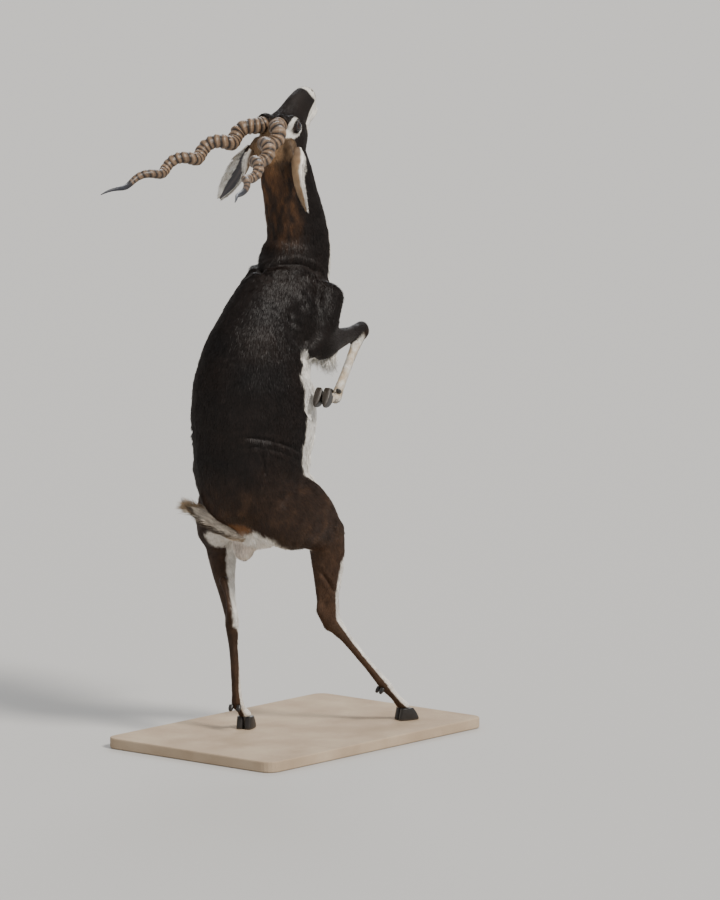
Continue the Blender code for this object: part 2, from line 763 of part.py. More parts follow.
def horn(side, ridges=HORN_RIDGES):
    """The ringed horn with its smooth tip, or only its root when fewer ridges are asked for."""
    shares = [-0.012]
    radii = [horn_radius(0.0) * 0.96]
    step = HORN_RINGED / HORN_RIDGES
    for i in range(ridges):
        relief = np.interp(i / HORN_RIDGES, [0, 0.1, 0.7, 1], [0.6, 1, 0.9, 0.35])
        for inside, high in ((0.10, -0.06), (0.45, 0.10), (0.78, 0.06)):
            shares.append((i + inside) * step)
            radii.append(horn_radius(shares[-1]) * (1 + high * relief))
    if ridges == HORN_RIDGES:
        for share in (0.815, 0.84, 0.87, 0.90, 0.93, 0.955, 0.975, 0.99, 1.0):
            shares.append(share)
            radii.append(horn_radius(share))
    return tube(horn_path(side, shares), radii, resolution=2)


def claw(side):
    """One of a foot's two claws, from its sole up: x runs to the toe, z up, with the origin at the tip."""
    outline = [
        (0.0, 0.0055),
        (0.007, 0.0082),
        (0.020, 0.0086),
        (0.033, 0.0074),
        (0.043, 0.0045),
        (CLAW_LONG, 0.0012),
    ]
    levels = [
        (0.0, 1.0, 0.0, 1.0),
        (0.006, 0.985, 0.0003, 1.0),
        (0.017, 0.83, 0.0025, 0.97),
        (CLAW_TALL, 0.62, 0.0045, 0.88),
    ]
    skew = unit([1.0, side * 0.035, 0.0])
    cross = np.array([-skew[1], skew[0], 0.0])
    heel = np.array([0.001 - CLAW_LONG, side * CLAW_SPREAD, 0.0])
    rings = []
    for height, scale, shift, narrow in levels:
        centre = heel + np.array([0.0, 0.0, height])
        near = [centre + skew * (x * scale + shift) + cross * w * narrow for x, w in outline]
        far = [centre + skew * (x * scale + shift) - cross * w * narrow for x, w in reversed(outline)]
        rings.append(near + far)
    return ring_mesh(rings)


def dewclaw(side):
    """The small claw behind a fetlock: x runs down, y to the side and z back, from the fetlock's middle."""
    start = np.array([0.002, side * 0.0095, 0.0125])
    end = start + np.array([0.013, 0.0, 0.008])
    rows = [
        [*start, 0.0058, 0.0050, 0.0],
        [*(start + (end - start) * 0.55), 0.0062, 0.0050, 0.0],
        [*end, 0.0035, 0.0028, 0.0],
    ]
    return loft(rows, np.array([0.0, 1.0, 0.0]), sides=6, steps=1, dome=0.0)


def tail_shapes():
    """The tail raised and swung to the left, with flat locks that overlap towards its tip."""
    rows = [[*place(*key[:3]), *key[3:], 0.0] for key in TAIL]
    shapes = [loft(rows, direction(0.5, 0.2, 0.8), sides=14, steps=3)]
    centre = smooth_rows(rows, 8)[:, :3]
    last = len(centre) - 1
    generator = np.random.default_rng(11)
    for i in range(TAIL_LOCKS):
        share = 0.36 + 0.60 * i / (TAIL_LOCKS - 1)
        spot = int(share * last)
        along = unit(centre[min(spot + 2, last)] - centre[spot - 2])
        across = unit(np.cross(along, direction(0.8, 0.2, -0.4)))
        sign = 1 if i % 2 else -1
        reach = 0.034 + 0.010 * generator.random() - 0.008 * share
        spread = 0.36 - 0.22 * share + 0.16 * generator.random()
        away = direction(-0.5, 0, 0.3) * 0.15 * generator.random()
        lean = unit(along + across * sign * spread + away)
        start = centre[spot] + across * sign * 0.006
        rows = [
            [*(start - lean * 0.006), 0.0062, 0.0038, 0.0],
            [*(start + lean * reach * 0.45), 0.0068, 0.0034, 0.0],
            [*(start + lean * reach * 0.8), 0.0045, 0.0027, 0.0],
            [*(start + lean * reach), 0.0018, 0.0016, 0.0],
        ]
        shapes.append(loft(rows, across, sides=8, steps=2, dome=0.5))
    return shapes


# Cutters


def surface_hit(tree, start, toward):
    hit = tree.ray_cast(Vector(start), Vector(unit(toward)))
    return None if hit[0] is None else np.array(hit[0])


def mouth_groove(tree):
    """A fine groove round the muzzle between the lips, ending below and behind the nostrils."""
    path = []
    for angle in np.linspace(-148, 148, 33):
        t = math.radians(angle)
        rise = 0.0018 * math.cos(2 * t) + 0.0045 * math.cos(math.radians(min(abs(angle), 90)))
        way = FORWARD * math.cos(t) + RIGHTWARD * math.sin(t)
        hit = surface_hit(tree, head(0.106, 0.0, -0.034 + rise) + way * 0.11, -way)
        if hit is not None:
            path.append(hit)
    return tube(path, 0.0012)


def lid_opening(side):
    """An almond-shaped plug that opens the lids in front of the eye."""
    centre, look = eye_frame(side)
    look, long_way, tall = square_to(look, FORWARD - 0.16 * RAISED)
    rings = []
    for out, scale in ((0.004, 0.82), (0.012, 1.0), (0.035, 1.35)):
        ring = []
        for t in np.linspace(0, 2 * math.pi, 16, endpoint=False):
            x = math.cos(t)
            y = math.sin(t) * (1 - 0.28 * abs(x) ** 3)
            reach = long_way * LID_OPEN_LONG * x + tall * LID_OPEN_TALL * y
            ring.append(centre + look * out + reach * scale)
        rings.append(ring)
    return ring_mesh(rings)


def lid_crease(tree, side):
    """The fold above the upper lid."""
    centre, look = eye_frame(side)
    path = []
    for t in np.linspace(math.radians(-8), math.radians(188), 13):
        spot = centre + FORWARD * LID_CREASE_LONG * math.cos(t) + RAISED * LID_CREASE_TALL * math.sin(t)
        hit = surface_hit(tree, spot + look * 0.05, -look)
        if hit is not None:
            path.append(hit)
    return tube(path, 0.0009)


def face_cutters(tree):
    """The line of the mouth, and on each side the nostril, the gland's slit and the lid's fold."""
    cutters = {"mouth": mouth_groove(tree)}
    for name, side in (("right", 1), ("left", -1)):
        nostril = surface_hit(tree, head(0.160, 0.0155 * side, 0.002), -FORWARD) + RIGHTWARD * side * 0.0008
        slant = RAISED * 0.8 + RIGHTWARD * side * 0.85 - FORWARD * 0.35
        slot = (0.0082, 0.0030, 0.0040)
        cutters[f"nostril_{name}"] = ball(nostril, slot, slant, FORWARD, around=10, levels=7)
        slit = surface_hit(tree, head(0.030, 0.1 * side, -0.0150), -RIGHTWARD * side)
        lean = FORWARD - 0.35 * RAISED
        cutters[f"slit_{name}"] = ball(slit, (0.0085, 0.0020, 0.0016), lean, RAISED, around=10, levels=7)
        cutters[f"lid_fold_{name}"] = lid_crease(tree, side)
        cutters[f"lids_{name}"] = lid_opening(side)
    return cutters


def foot_box(tip, toe, up):
    """A box that ends the flesh of a foot flat, just above its claws."""
    half_tall = 0.024
    centre = tip - toe * 0.020 + up * (CLAW_TALL + GAP - half_tall)
    return box(centre, (toe, unit(np.cross(up, toe)), up), (0.036, 0.030, half_tall))


def hip_plates(side, inner):
    """One upright plate beside the tail and one sloping plate above the thigh."""
    upright = plate(place(0.06, inner * side, 0.4705), LEFTWARD, 0.30, 0.1005, UP)
    low = place(0.06, (inner - 0.0002) * side, 0.5710)
    high = place(0.06, 0.220 * side, 0.6250)
    lean = high - low
    normal = np.cross(lean, direction(1, 0, 0))
    sloping = plate((low + high) / 2, normal, 0.30, np.linalg.norm(lean) / 2, unit(lean))
    return upright, sloping


def parting_plates():
    """The thin cuts between the named parts of the body."""
    plates = {
        "head_neck": plate(place(0.160, 0, 1.277), direction(0.371, 0, 0.928), 0.14),
        "neck_torso": plate(place(0.190, 0, 1.072), direction(0.24, 0, 0.97), 0.20),
    }
    for name, side, inner in (("right", -1, 0.052), ("left", 1, 0.066)):
        plates[f"hip_{name}"], plates[f"flank_{name}"] = hip_plates(side, inner)
    for name, leg in HIND.items():
        hock, fetlock, knee = place(*leg["hock"]), place(*leg["fetlock"]), place(*leg["shank"][1][:3])
        down = unit(fetlock - hock)
        plates[f"knee_{name}"] = plate(knee, direction(-0.12, -0.10, -0.98), 0.095, 0.074, LEFTWARD)
        plates[f"hock_{name}"] = plate(hock + down * 0.030, down, 0.045)
        plates[f"hind_fetlock_{name}"] = plate(fetlock - down * 0.016, down, 0.035)
    for name, leg in FORE.items():
        elbow, carpus, fetlock = (place(*leg[key]) for key in ("elbow", "carpus", "fetlock"))
        down = unit(fetlock - carpus)
        plates[f"elbow_{name}"] = plate(elbow + (carpus - elbow) * 0.62, direction(0.81, 0, -0.58), 0.052)
        plates[f"carpus_{name}"] = plate(carpus, unit(carpus - elbow) + down, 0.074)
        plates[f"fore_fetlock_{name}"] = plate(fetlock - down * 0.014, down, 0.030)
    return plates


# Nodes of flesh. Each is (a place inside it, the joint where it grows from the rest).
ANCHORS = {
    "head": (head(0.03, 0, -0.02), place(0.160, 0, 1.277)),
    "neck": (place(0.19, 0, 1.18), place(0.190, 0, 1.072)),
    "torso": (place(0.08, 0, 0.80), place(0.05, 0, 0.65)),
    "hindleg_right_thigh": (place(0.13, -0.10, 0.49), place(0.045, -0.060, 0.545)),
    "hindleg_right_shank": (place(0.205, -0.088, 0.32), place(0.202, -0.089, 0.405)),
    "hindleg_right_cannon": (place(0.275, -0.12, 0.16), place(0.217, -0.087, 0.247)),
    "hindleg_right_pastern": (place(0.36, -0.158, 0.06), place(0.332, -0.155, 0.085)),
    "hindleg_left_thigh": (place(0.08, 0.11, 0.49), place(0.045, 0.066, 0.545)),
    "hindleg_left_shank": (place(0.055, 0.08, 0.32), place(0.084, 0.128, 0.395)),
    "hindleg_left_cannon": (place(0.027, 0.04, 0.15), place(0.024, 0.047, 0.255)),
    "hindleg_left_pastern": (place(0.05, 0.04, 0.05), place(0.030, 0.036, 0.064)),
    "foreleg_right_forearm": (place(0.27, -0.09, 0.90), place(0.152, -0.103, 0.888)),
    "foreleg_right_cannon": (place(0.27, -0.09, 0.835), place(0.324, -0.088, 0.908)),
    "foreleg_right_pastern": (place(0.185, -0.105, 0.763), place(0.203, -0.114, 0.767)),
    "foreleg_left_forearm": (place(0.26, 0.098, 0.92), place(0.150, 0.103, 0.888)),
    "foreleg_left_cannon": (place(0.264, 0.10, 0.86), place(0.308, 0.100, 0.938)),
    "foreleg_left_pastern": (place(0.19, 0.107, 0.773), place(0.212, 0.122, 0.783)),
}


def separate_surfaces(mesh):
    """The vertex numbers of each closed surface in a mesh, largest first."""
    owner = np.arange(len(mesh.vertices))
    edges = np.empty(len(mesh.edges) * 2, np.int32)
    mesh.edges.foreach_get("vertices", edges)
    starts, ends = edges.reshape(-1, 2).T
    while True:
        before = owner.copy()
        low = np.minimum(owner[starts], owner[ends])
        np.minimum.at(owner, starts, low)
        np.minimum.at(owner, ends, low)
        owner = owner[owner]
        if (owner == before).all():
            break
    roots, counts = np.unique(owner, return_counts=True)
    return [np.nonzero(owner == root)[0] for root in roots[np.argsort(-counts)]]


def surface_mesh(mesh, group, name, origin=(0.0, 0.0, 0.0)):
    """One closed surface of a mesh as a mesh of its own, measured from an origin."""
    points = coordinates(mesh)[group] - np.asarray(origin)
    renumber = {old: new for new, old in enumerate(group.tolist())}
    faces = [tuple(renumber[v] for v in face) for face in polygons(mesh) if face[0] in renumber]
    return mesh_of(points, faces, name)


def add_flesh_nodes(obj, parent):
    """Makes each closed surface a node, named for the anchor nearest to its middle."""
    points = coordinates(obj.data)
    groups = separate_surfaces(obj.data)
    middles = {}
    for i, group in enumerate(groups):
        low, high = points[group].min(axis=0), points[group].max(axis=0)
        if (high - low).max() > SMALLEST_PIECE:
            middles[i] = (low + high) / 2
    pairs = sorted(
        (np.linalg.norm(spot - middle), name, i)
        for name, (spot, _) in ANCHORS.items()
        for i, middle in middles.items()
    )
    taken = {}
    for _, name, i in pairs:
        if name not in taken and i not in taken.values():
            taken[name] = i
    for name, i in taken.items():
        origin = ANCHORS[name][1]
        mesh = surface_mesh(obj.data, groups[i], name, origin)
        add_part(name, mesh, "coat", parent, Matrix.Translation(Vector(origin)), sharp=60)
    bpy.data.objects.remove(obj)


# Making one surface of many forms


def weigh(obj, name, weights):
    group = obj.vertex_groups.new(name=name)
    levels = np.round(weights, 2)
    for level in np.unique(levels):
        group.add(np.nonzero(levels == level)[0].tolist(), float(level), "REPLACE")


def fused(shapes, name, voxel):
    """The outer surface of overlapping shapes."""
    obj = add_cutter(joined(shapes), f"{name}_forms")
    modifier = obj.modifiers.new("fuse", "REMESH")
    modifier.mode = "VOXEL"
    modifier.voxel_size = voxel
    obj = evaluated(obj, f"{name}_fused")
    whole = surface_mesh(obj.data, separate_surfaces(obj.data)[0], name)
    bpy.data.objects.remove(obj)
    return add_cutter(whole, name)


def smoothed(obj, name, rounds, weights=None):
    modifier = obj.modifiers.new("smooth", "SMOOTH")
    modifier.factor = 0.5
    modifier.iterations = rounds
    if weights is not None:
        weigh(obj, "smooth", weights)
        modifier.vertex_group = "smooth"
    return evaluated(obj, name)


def thinned(obj, triangles, name, weights=None):
    before = sum(len(polygon.vertices) - 2 for polygon in obj.data.polygons)
    modifier = obj.modifiers.new("thin", "DECIMATE")
    modifier.ratio = triangles / before
    if weights is not None:
        weigh(obj, "thin", weights)
        modifier.vertex_group = "thin"
    return evaluated(obj, name)


def near_head(points):
    """1 on the head, falling to 0 on the neck."""
    away = np.linalg.norm(points - head(0.03, 0, -0.03), axis=1)
    return np.clip((0.17 - away) / 0.05, 0, 1)


def near_feet(points):
    """1 at the fetlocks, falling to 0 along the legs."""
    fetlocks = [place(*leg["fetlock"]) for leg in [*HIND.values(), *FORE.values()]]
    away = np.min([np.linalg.norm(points - fetlock, axis=1) for fetlock in fetlocks], axis=0)
    return np.clip((0.09 - away) / 0.03, 0, 1)


def flesh_surface():
    """The whole body's surface, finest on the head and feet."""
    obj = smoothed(fused(flesh_shapes(), "flesh", VOXEL), "flesh_rounded", 3)
    obj = smoothed(obj, "flesh_smooth", 22, 1 - near_head(coordinates(obj.data)))
    obj = thinned(obj, EVEN_TRIANGLES, "flesh_even")
    points = coordinates(obj.data)
    spare = np.clip(1 - near_head(points) - 0.5 * near_feet(points), 0, 1)
    return thinned(obj, FLESH_TRIANGLES, "flesh_thin", spare)


def cut(obj, cutters, name):
    """Takes every cutter from the object, one after another, because some of them cross.

    The exact solver loses the body among so many crossing cuts, so these use the manifold one.
    """
    for label, mesh in cutters.items():
        modifier = obj.modifiers.new(label, "BOOLEAN")
        modifier.object = add_cutter(mesh, f"cut_{label}")
        modifier.operation = "DIFFERENCE"
        modifier.solver = "MANIFOLD"
    return evaluated(obj, name)


# The parts of the model


def add_base(parent):
    bpy.ops.mesh.primitive_cube_add(size=1.0, location=(0.0, 0.0, BASE_THICK / 2))
    base = bpy.context.object
    base.name = "stand_base"
    base.data.name = "stand_base"
    for vert in base.data.vertices:
        vert.co = vert.co * Vector((BASE_WIDE, BASE_LONG, BASE_THICK))
    for collection in list(base.users_collection):
        collection.objects.unlink(base)
    bpy.data.collections["blackbuck"].objects.link(base)
    base.parent = parent
    base.data.materials.append(material("board"))
    upright = base.data.attributes.new("bevel_weight_edge", "FLOAT", "EDGE")
    for edge, weight in zip(base.data.edges, upright.data):
        low, high = (base.data.vertices[v].co.z for v in edge.vertices)
        weight.value = 1.0 if abs(high - low) > BASE_THICK / 2 else 0.0
    corners = base.modifiers.new("corners", "BEVEL")
    corners.limit_method = "WEIGHT"
    corners.width = BASE_CORNER
    corners.segments = 5
    edges = base.modifiers.new("edges", "BEVEL")
    edges.limit_method = "ANGLE"
    edges.angle_limit = math.radians(60)
    edges.width = BASE_EDGE
    edges.segments = 2


def add_feet(parent):
    """The claws and dewclaws, each placed in its foot's frame. Gives the dewclaws' sockets."""
    sockets = {}
    for end, name, tip, toe, up, fetlock, back, down in foot_frames():
        side_way = np.cross(up, toe)
        inward_first = (name == "right") == (end == "hind")
        for label, side in zip(("inner", "outer") if inward_first else ("outer", "inner"), (1, -1)):
            claw_frame = frame_matrix(tip, toe, side_way, up)
            add_part(f"hoof_{end}_{name}_{label}", claw(side), "hoof", parent, claw_frame)
            axis, across, out = square_to(down, side_way)
            handed = 1 if np.dot(out, back) > 0 else -1
            spur = dewclaw(side * handed)
            turned = frame_matrix(fetlock, axis, across * handed, out * handed)
            socket = grown(spur, SOCKET_GAP)
            socket.transform(turned)
            sockets[f"dewclaw_{end}_{name}_{label}"] = socket
            add_part(f"dewclaw_{end}_{name}_{label}", spur, "hoof", parent, turned)
    return sockets


def main():
    for obj in list(bpy.data.objects):
        bpy.data.objects.remove(obj)
    collection_named("blackbuck")
    collection_named("cutters")
    middle = add_object("blackbuck_middle", None, "blackbuck")

    flesh = flesh_surface()
    tree = BVHTree.FromPolygons([tuple(p) for p in coordinates(flesh.data)], polygons(flesh.data))

    cutters = {}
    for name, side in (("right", 1), ("left", -1)):
        parts = {"eye": (eye(side), "eye"), "ear": (ear(name), "coat"), "horn": (horn(side), "horn")}
        for label, (mesh, finish) in parts.items():
            add_part(f"{label}_{name}", mesh, finish, middle)
            shape = horn(side, HORN_ROOT_RIDGES) if label == "horn" else mesh
            cutters[f"{label}_{name}"] = grown(shape, SOCKET_GAP)
    tail = smoothed(fused(tail_shapes(), "tail", TAIL_VOXEL), "tail_smooth", 3)
    tail = thinned(tail, TAIL_TRIANGLES, "tail_thin")
    cutters["tail"] = grown(tail.data, SOCKET_GAP)
    add_part("tail", tail.data, "tail_hair", middle)
    bpy.data.objects.remove(tail)
    cutters.update(add_feet(middle))
    for end, name, tip, toe, up, *_ in foot_frames():
        cutters[f"foot_{end}_{name}"] = foot_box(tip, toe, up)
    cutters.update(face_cutters(tree))
    cutters.update(parting_plates())
    add_flesh_nodes(cut(flesh, cutters, "flesh_cut"), middle)
    add_base(middle)


main()
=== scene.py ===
"""The finished look of the rearing blackbuck: skin, coat, horns, eyes, ears, hooves, tail and base.

Places on the animal are (ahead, left, up) in metres, as in the solids: ahead is towards its nose and up
starts at the top of the base. The frame has the animal facing -Y with its left side towards +X. Places on
the head are (forward, right, raised) in the head's own frame.
"""

import math

import bmesh
import bpy
import numpy as np
from mathutils import Matrix, Vector
from mathutils.bvhtree import BVHTree


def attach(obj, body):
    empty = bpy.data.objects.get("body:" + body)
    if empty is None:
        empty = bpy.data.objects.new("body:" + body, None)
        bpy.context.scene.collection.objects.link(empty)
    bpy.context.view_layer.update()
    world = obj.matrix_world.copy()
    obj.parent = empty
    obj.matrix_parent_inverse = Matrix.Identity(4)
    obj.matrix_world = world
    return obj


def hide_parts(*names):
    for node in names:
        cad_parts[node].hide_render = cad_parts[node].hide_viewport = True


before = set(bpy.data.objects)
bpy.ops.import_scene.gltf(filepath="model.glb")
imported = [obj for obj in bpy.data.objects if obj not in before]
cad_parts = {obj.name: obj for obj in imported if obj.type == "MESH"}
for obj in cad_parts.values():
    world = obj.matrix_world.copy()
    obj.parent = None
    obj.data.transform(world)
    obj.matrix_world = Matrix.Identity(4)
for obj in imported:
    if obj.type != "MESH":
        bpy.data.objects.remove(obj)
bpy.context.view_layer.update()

# Where the animal stands on its base
BASE_THICK = 0.025
BASE_AHEAD = 0.16
BASE_LEFT = -0.03

# Camera: the photograph's angle, its distance and its scale at the trunk
CAMERA_AZIMUTH = math.radians(220)
CAMERA_ELEVATION = math.radians(8)
CAMERA_AWAY = 15.0
CAMERA_AIM = (-0.167, -0.029, 0.679)
PIXELS_PER_METRE = 440.0
PICTURE_TALL = 900
SENSOR = 36.0

# Studio: for each sun where it comes from, its width in degrees, its strength and its colour
SUNS = {
    "key": ((-0.78, 0.05, 0.75), 14.0, 3.7, (1.0, 0.955, 0.89)),
    "back_light": ((0.55, -0.75, 0.60), 30.0, 1.1, (0.93, 0.96, 1.0)),
}
SURROUND = (0.98, 0.965, 0.95, 1.0)
SURROUND_STRENGTH = 0.63
FLOOR_COLOUR = (0.50, 0.496, 0.485, 1.0)
FLOOR_REACH = 30.0
FLOOR_AT = -0.0005

# Skin and coat
SKIN_VOXEL = 0.0027
SEAM_OVERLAP = 0.00035
BODY_ROUNDS = 14
HEAD_ROUNDS = 3
SKIN_SHADE = 0.85
COAT_SINK = 0.24
COAT_LIFT = 0.19
LONG_COAT = 0.0115
COAT_DENSITY = 210000
MOST_TRIANGLES = 190000

# Palette, linear
BLACK = (0.0042, 0.0034, 0.0036)
UMBER = (0.022, 0.0115, 0.0072)
BROWN = (0.074, 0.038, 0.020)
RUFOUS = (0.185, 0.082, 0.030)
TAN = (0.330, 0.210, 0.115)
CREAM = (0.560, 0.450, 0.320)
WHITE = (0.830, 0.795, 0.730)
SKIN_PALE = (0.600, 0.470, 0.390)
SKIN_DARK = (0.030, 0.027, 0.028)
LID_DARK = (0.020, 0.012, 0.009)
GLAND_DARK = (0.006, 0.004, 0.004)
LIP_DARK = (0.018, 0.013, 0.013)
IRIS = (0.022, 0.010, 0.005)
PUPIL = (0.004, 0.005, 0.010)
EYE_EDGE = (0.012, 0.008, 0.007)
# The near black of the horn's grooves is painted shade
HORN_GROOVE_SHADE = (0.014, 0.010, 0.008)
HORN_BROWN = (0.150, 0.094, 0.056)
# The paler colour of the horn's ring crests is a painted highlight
HORN_CREST_HIGHLIGHT = (0.30, 0.215, 0.140)
HORN_TIP = (0.020, 0.022, 0.032)
HOOF_DARK = (0.012, 0.010, 0.009)
HOOF_WORN = (0.060, 0.046, 0.034)
EAR_CUP_GREY_AND_SHADE = (0.085, 0.080, 0.088)
EAR_RIDGE = (0.20, 0.17, 0.16)
TAIL_DARK = (0.020, 0.014, 0.010)

# Sand: where each tone lies on the ramp, and its colour
SAND_TONES = [(0.30, (0.335, 0.245, 0.165, 1.0)), (0.72, (0.470, 0.370, 0.265, 1.0))]

# Head frame, and the line that slants from the nape to the throat between neck and head
HEAD_AT = (0.143, 0.0, 1.384)
HEAD_YAW = math.radians(11)
HEAD_PITCH = math.radians(31)
THROAT_AHEAD = 0.160
THROAT_SLANT = 0.40

# Eyes: half sizes of the lids' middle line, of the place without coat, of the dark rim and of the white
# ring, which is moved back by a share of its length
EYE_AT = (0.0, 0.0375, 0.0015)
EYE_RADIUS = 0.0150
EYE_LIDS = (0.0131, 0.0101)
EYE_OPEN = (0.0165, 0.0130)
EYE_RIM = (0.0195, 0.0145)
EYE_RING = (0.0365, 0.0235)
EYE_RING_SHIFT = 0.08

# Horns
HORN_AT = (-0.026, 0.021, 0.028)
HORN_LENGTH = 0.508
HORN_TURNS = 4.6
HORN_RIDGES = 31
HORN_RINGED = 0.80
HORN_COIL = 0.0105
HORN_SPREAD = math.radians(17.8)
HORN_DROP = math.radians(15.0)

# Ears: the root of the right one on the head, and which way each one reaches and opens
EAR_ROOT = (-0.056, 0.0475, -0.026)
EAR_WAYS = {"right": (-0.047, -0.084, -0.128), "left": (-0.024, 0.083, -0.118)}
EAR_OPENINGS = {"right": (0.7, -0.6, 0.25), "left": (-0.85, 0.10, 0.1)}
EAR_SKIN = 0.0006

# Feet
CLAW_TALL = 0.028
CLAW_SPREAD = 0.0098
CLAW_LONG = 0.049
CLAW_OUTLINE = [(0.0, 0.0050), (0.003, 0.0072), (0.010, 0.0084), (0.020, 0.0086), (0.033, 0.0072),
                (0.043, 0.0044), (0.0485, 0.0014)]
FORE_CLAW_SLANT = math.radians(50)
GROWTH_LINES = 2600
GAP = 0.0003

# Rows of (ahead, up, half width, half depth) up the middle of the trunk and neck
TRUNK = [
    (0.062, 0.450, 0.075, 0.070),
    (0.055, 0.520, 0.105, 0.118),
    (0.042, 0.590, 0.118, 0.142),
    (0.040, 0.650, 0.124, 0.148),
    (0.048, 0.720, 0.132, 0.160),
    (0.048, 0.790, 0.128, 0.156),
    (0.060, 0.850, 0.115, 0.145),
    (0.098, 0.915, 0.099, 0.130),
    (0.136, 0.970, 0.087, 0.121),
    (0.165, 1.015, 0.075, 0.107),
    (0.186, 1.055, 0.067, 0.097),
]
NECK = [
    TRUNK[-1],
    (0.203, 1.120, 0.061, 0.089),
    (0.184, 1.200, 0.054, 0.078),
    (0.159, 1.280, 0.050, 0.070),
    (0.140, 1.330, 0.045, 0.060),
]

# The trunk's colours end at this height, so that none of them reach the hocks
TRUNK_BOTTOM = 0.375

# Limbs: joints as (ahead, left, up, radius), from the hip or shoulder down to the toe
LIMBS = {
    "hind_right": [
        (0.050, -0.062, 0.560, 0.080),
        (0.190, -0.089, 0.455, 0.050),
        (0.217, -0.087, 0.247, 0.024),
        (0.332, -0.155, 0.085, 0.015),
        (0.400, -0.170, 0.020, 0.017),
    ],
    "hind_left": [
        (0.050, 0.066, 0.560, 0.080),
        (0.094, 0.138, 0.430, 0.050),
        (0.024, 0.047, 0.255, 0.024),
        (0.030, 0.036, 0.064, 0.015),
        (0.075, 0.050, 0.020, 0.017),
    ],
    "fore_right": [
        (0.200, -0.080, 0.975, 0.045),
        (0.152, -0.103, 0.888, 0.040),
        (0.324, -0.088, 0.908, 0.020),
        (0.203, -0.114, 0.767, 0.014),
        (0.120, -0.143, 0.762, 0.016),
    ],
    "fore_left": [
        (0.200, 0.080, 0.975, 0.045),
        (0.150, 0.103, 0.888, 0.040),
        (0.308, 0.100, 0.938, 0.020),
        (0.212, 0.122, 0.783, 0.014),
        (0.130, 0.141, 0.767, 0.016),
    ],
}
FETLOCK = 3

# Which way each limb faces
LIMB_FRONTS = {
    "hind_right": (0.97, -0.22, 0.0),
    "hind_left": (0.82, 0.57, 0.0),
    "fore_right": (0.60, 0.0, 0.0),
    "fore_left": (0.60, 0.0, 0.0),
}

# Tips of the toes, and which way the planted ones point
FORE_TIPS = {"right": (0.100, -0.150, 0.760), "left": (0.110, 0.145, 0.765)}
HIND_TIPS = {"right": (0.417, -0.175, 0.0), "left": (0.097, 0.054, 0.0)}
HIND_TOES = {"right": (0.92, -0.39, 0.0), "left": (0.93, 0.32, 0.0)}

# Rows of (ahead, left, up, half width, half depth) along the tail, from its root
TAIL = [
    (0.070, -0.014, 0.496, 0.011, 0.010),
    (0.040, -0.010, 0.468, 0.014, 0.011),
    (0.000, 0.000, 0.463, 0.016, 0.0125),
    (-0.034, 0.016, 0.478, 0.017, 0.012),
    (-0.058, 0.039, 0.498, 0.014, 0.010),
    (-0.072, 0.058, 0.513, 0.010, 0.008),
    (-0.078, 0.068, 0.519, 0.006, 0.005),
]
TAIL_FLAT = (0.5, 0.2, 0.8)
TAIL_CORE = 0.72

# Markings of the trunk. The belly's white ends at an angle from the middle line, in degrees, by height
BELLY_HEIGHTS = [0.40, 0.60, 0.66, 0.85, 0.94, 1.00, 1.08, 1.15, 1.19, 1.22]
BELLY_ANGLES = [60, 66, 74, 76, 77, 66, 50, 42, 20, -12]
SEAT_TOP = 0.476
SEAT_LEFT = 0.112
SEAT_RIGHT = 0.088
POUCH_AT = (0.034, 0.018, 0.424)
POUCH_RADIUS = 0.040
RUMP_AT = (-0.022, -0.014, 0.488)
RUMP_RADIUS = 0.027

# Mouth line, nostrils and tear glands: half widths, with the slits' half lengths before them
MOUTH_HALF = 0.0017
NOSTRIL_HALF = (0.0078, 0.0033)
GLAND_HALF = (0.0100, 0.0024)

# Markings of the face: the line of the lips as (forward, raised), where the white of the jaw and of the
# muzzle begins and is full, and the nose pad's back, low and high edges and half width
LIP_FORWARD = [0.045, 0.060, 0.090, 0.120, 0.140]
LIP_RAISED = [-0.046, -0.0310, -0.0235, -0.0175, -0.0130]
JAW_WHITE = (0.046, 0.056)
MUZZLE_WHITE = (0.1185, 0.1235)
PAD_BACK = 0.1345
PAD_LOW = -0.0165
PAD_HIGH = 0.0085
PAD_HALF = 0.0085

# White on each hind leg's shank, cannon and foot: shares of its length, and there the angles round
# the leg in degrees, from the front, at which the white ends on the inner and on the outer side
HIND_WHITE = {
    "hind_right": [((0, 0.16, 0.34, 0.6), (-125, -125, -125, -125), (-40, -25, 52, 72)),
                   ((0, 0.3, 0.6), (-120, -120, -120), (78, 88, 98)),
                   ((0, 0.4, 1), (-130, -150, -150), (98, 112, 112))],
    "hind_left": [((0, 0.16, 0.5, 1), (-165, -165, -172, -172), (-40, -25, 40, 45)),
                  ((0.03, 0.13, 0.5, 0.8), (-172, -96, -98, -140), (45, 45, 50, 60)),
                  ((0, 0.4, 1), (-140, -155, -155), (70, 100, 100))],
}

# How strongly painted sunlight lightens each hind leg: the right one is painted as lit, the left one mostly
# as in shade
HIND_PAINTED_SUNLIGHT = {"hind_right": 1.0, "hind_left": 0.45}

# The coat's pieces, and how the names of the regions that each one covers start
COAT_PARTS = {
    "torso": "trunk", "neck": "neck", "head": "head", "hind_right": "hind_right", "hind_left": "hind_left",
    "fore_right": "fore_right", "fore_left": "fore_left",
}

# The coat's length on a leg's thigh, shank, cannon and foot, with the lengths before and after them
LEG_COAT = [0.0112, 0.0100, 0.0075, 0.0052, 0.0048, 0.0046]

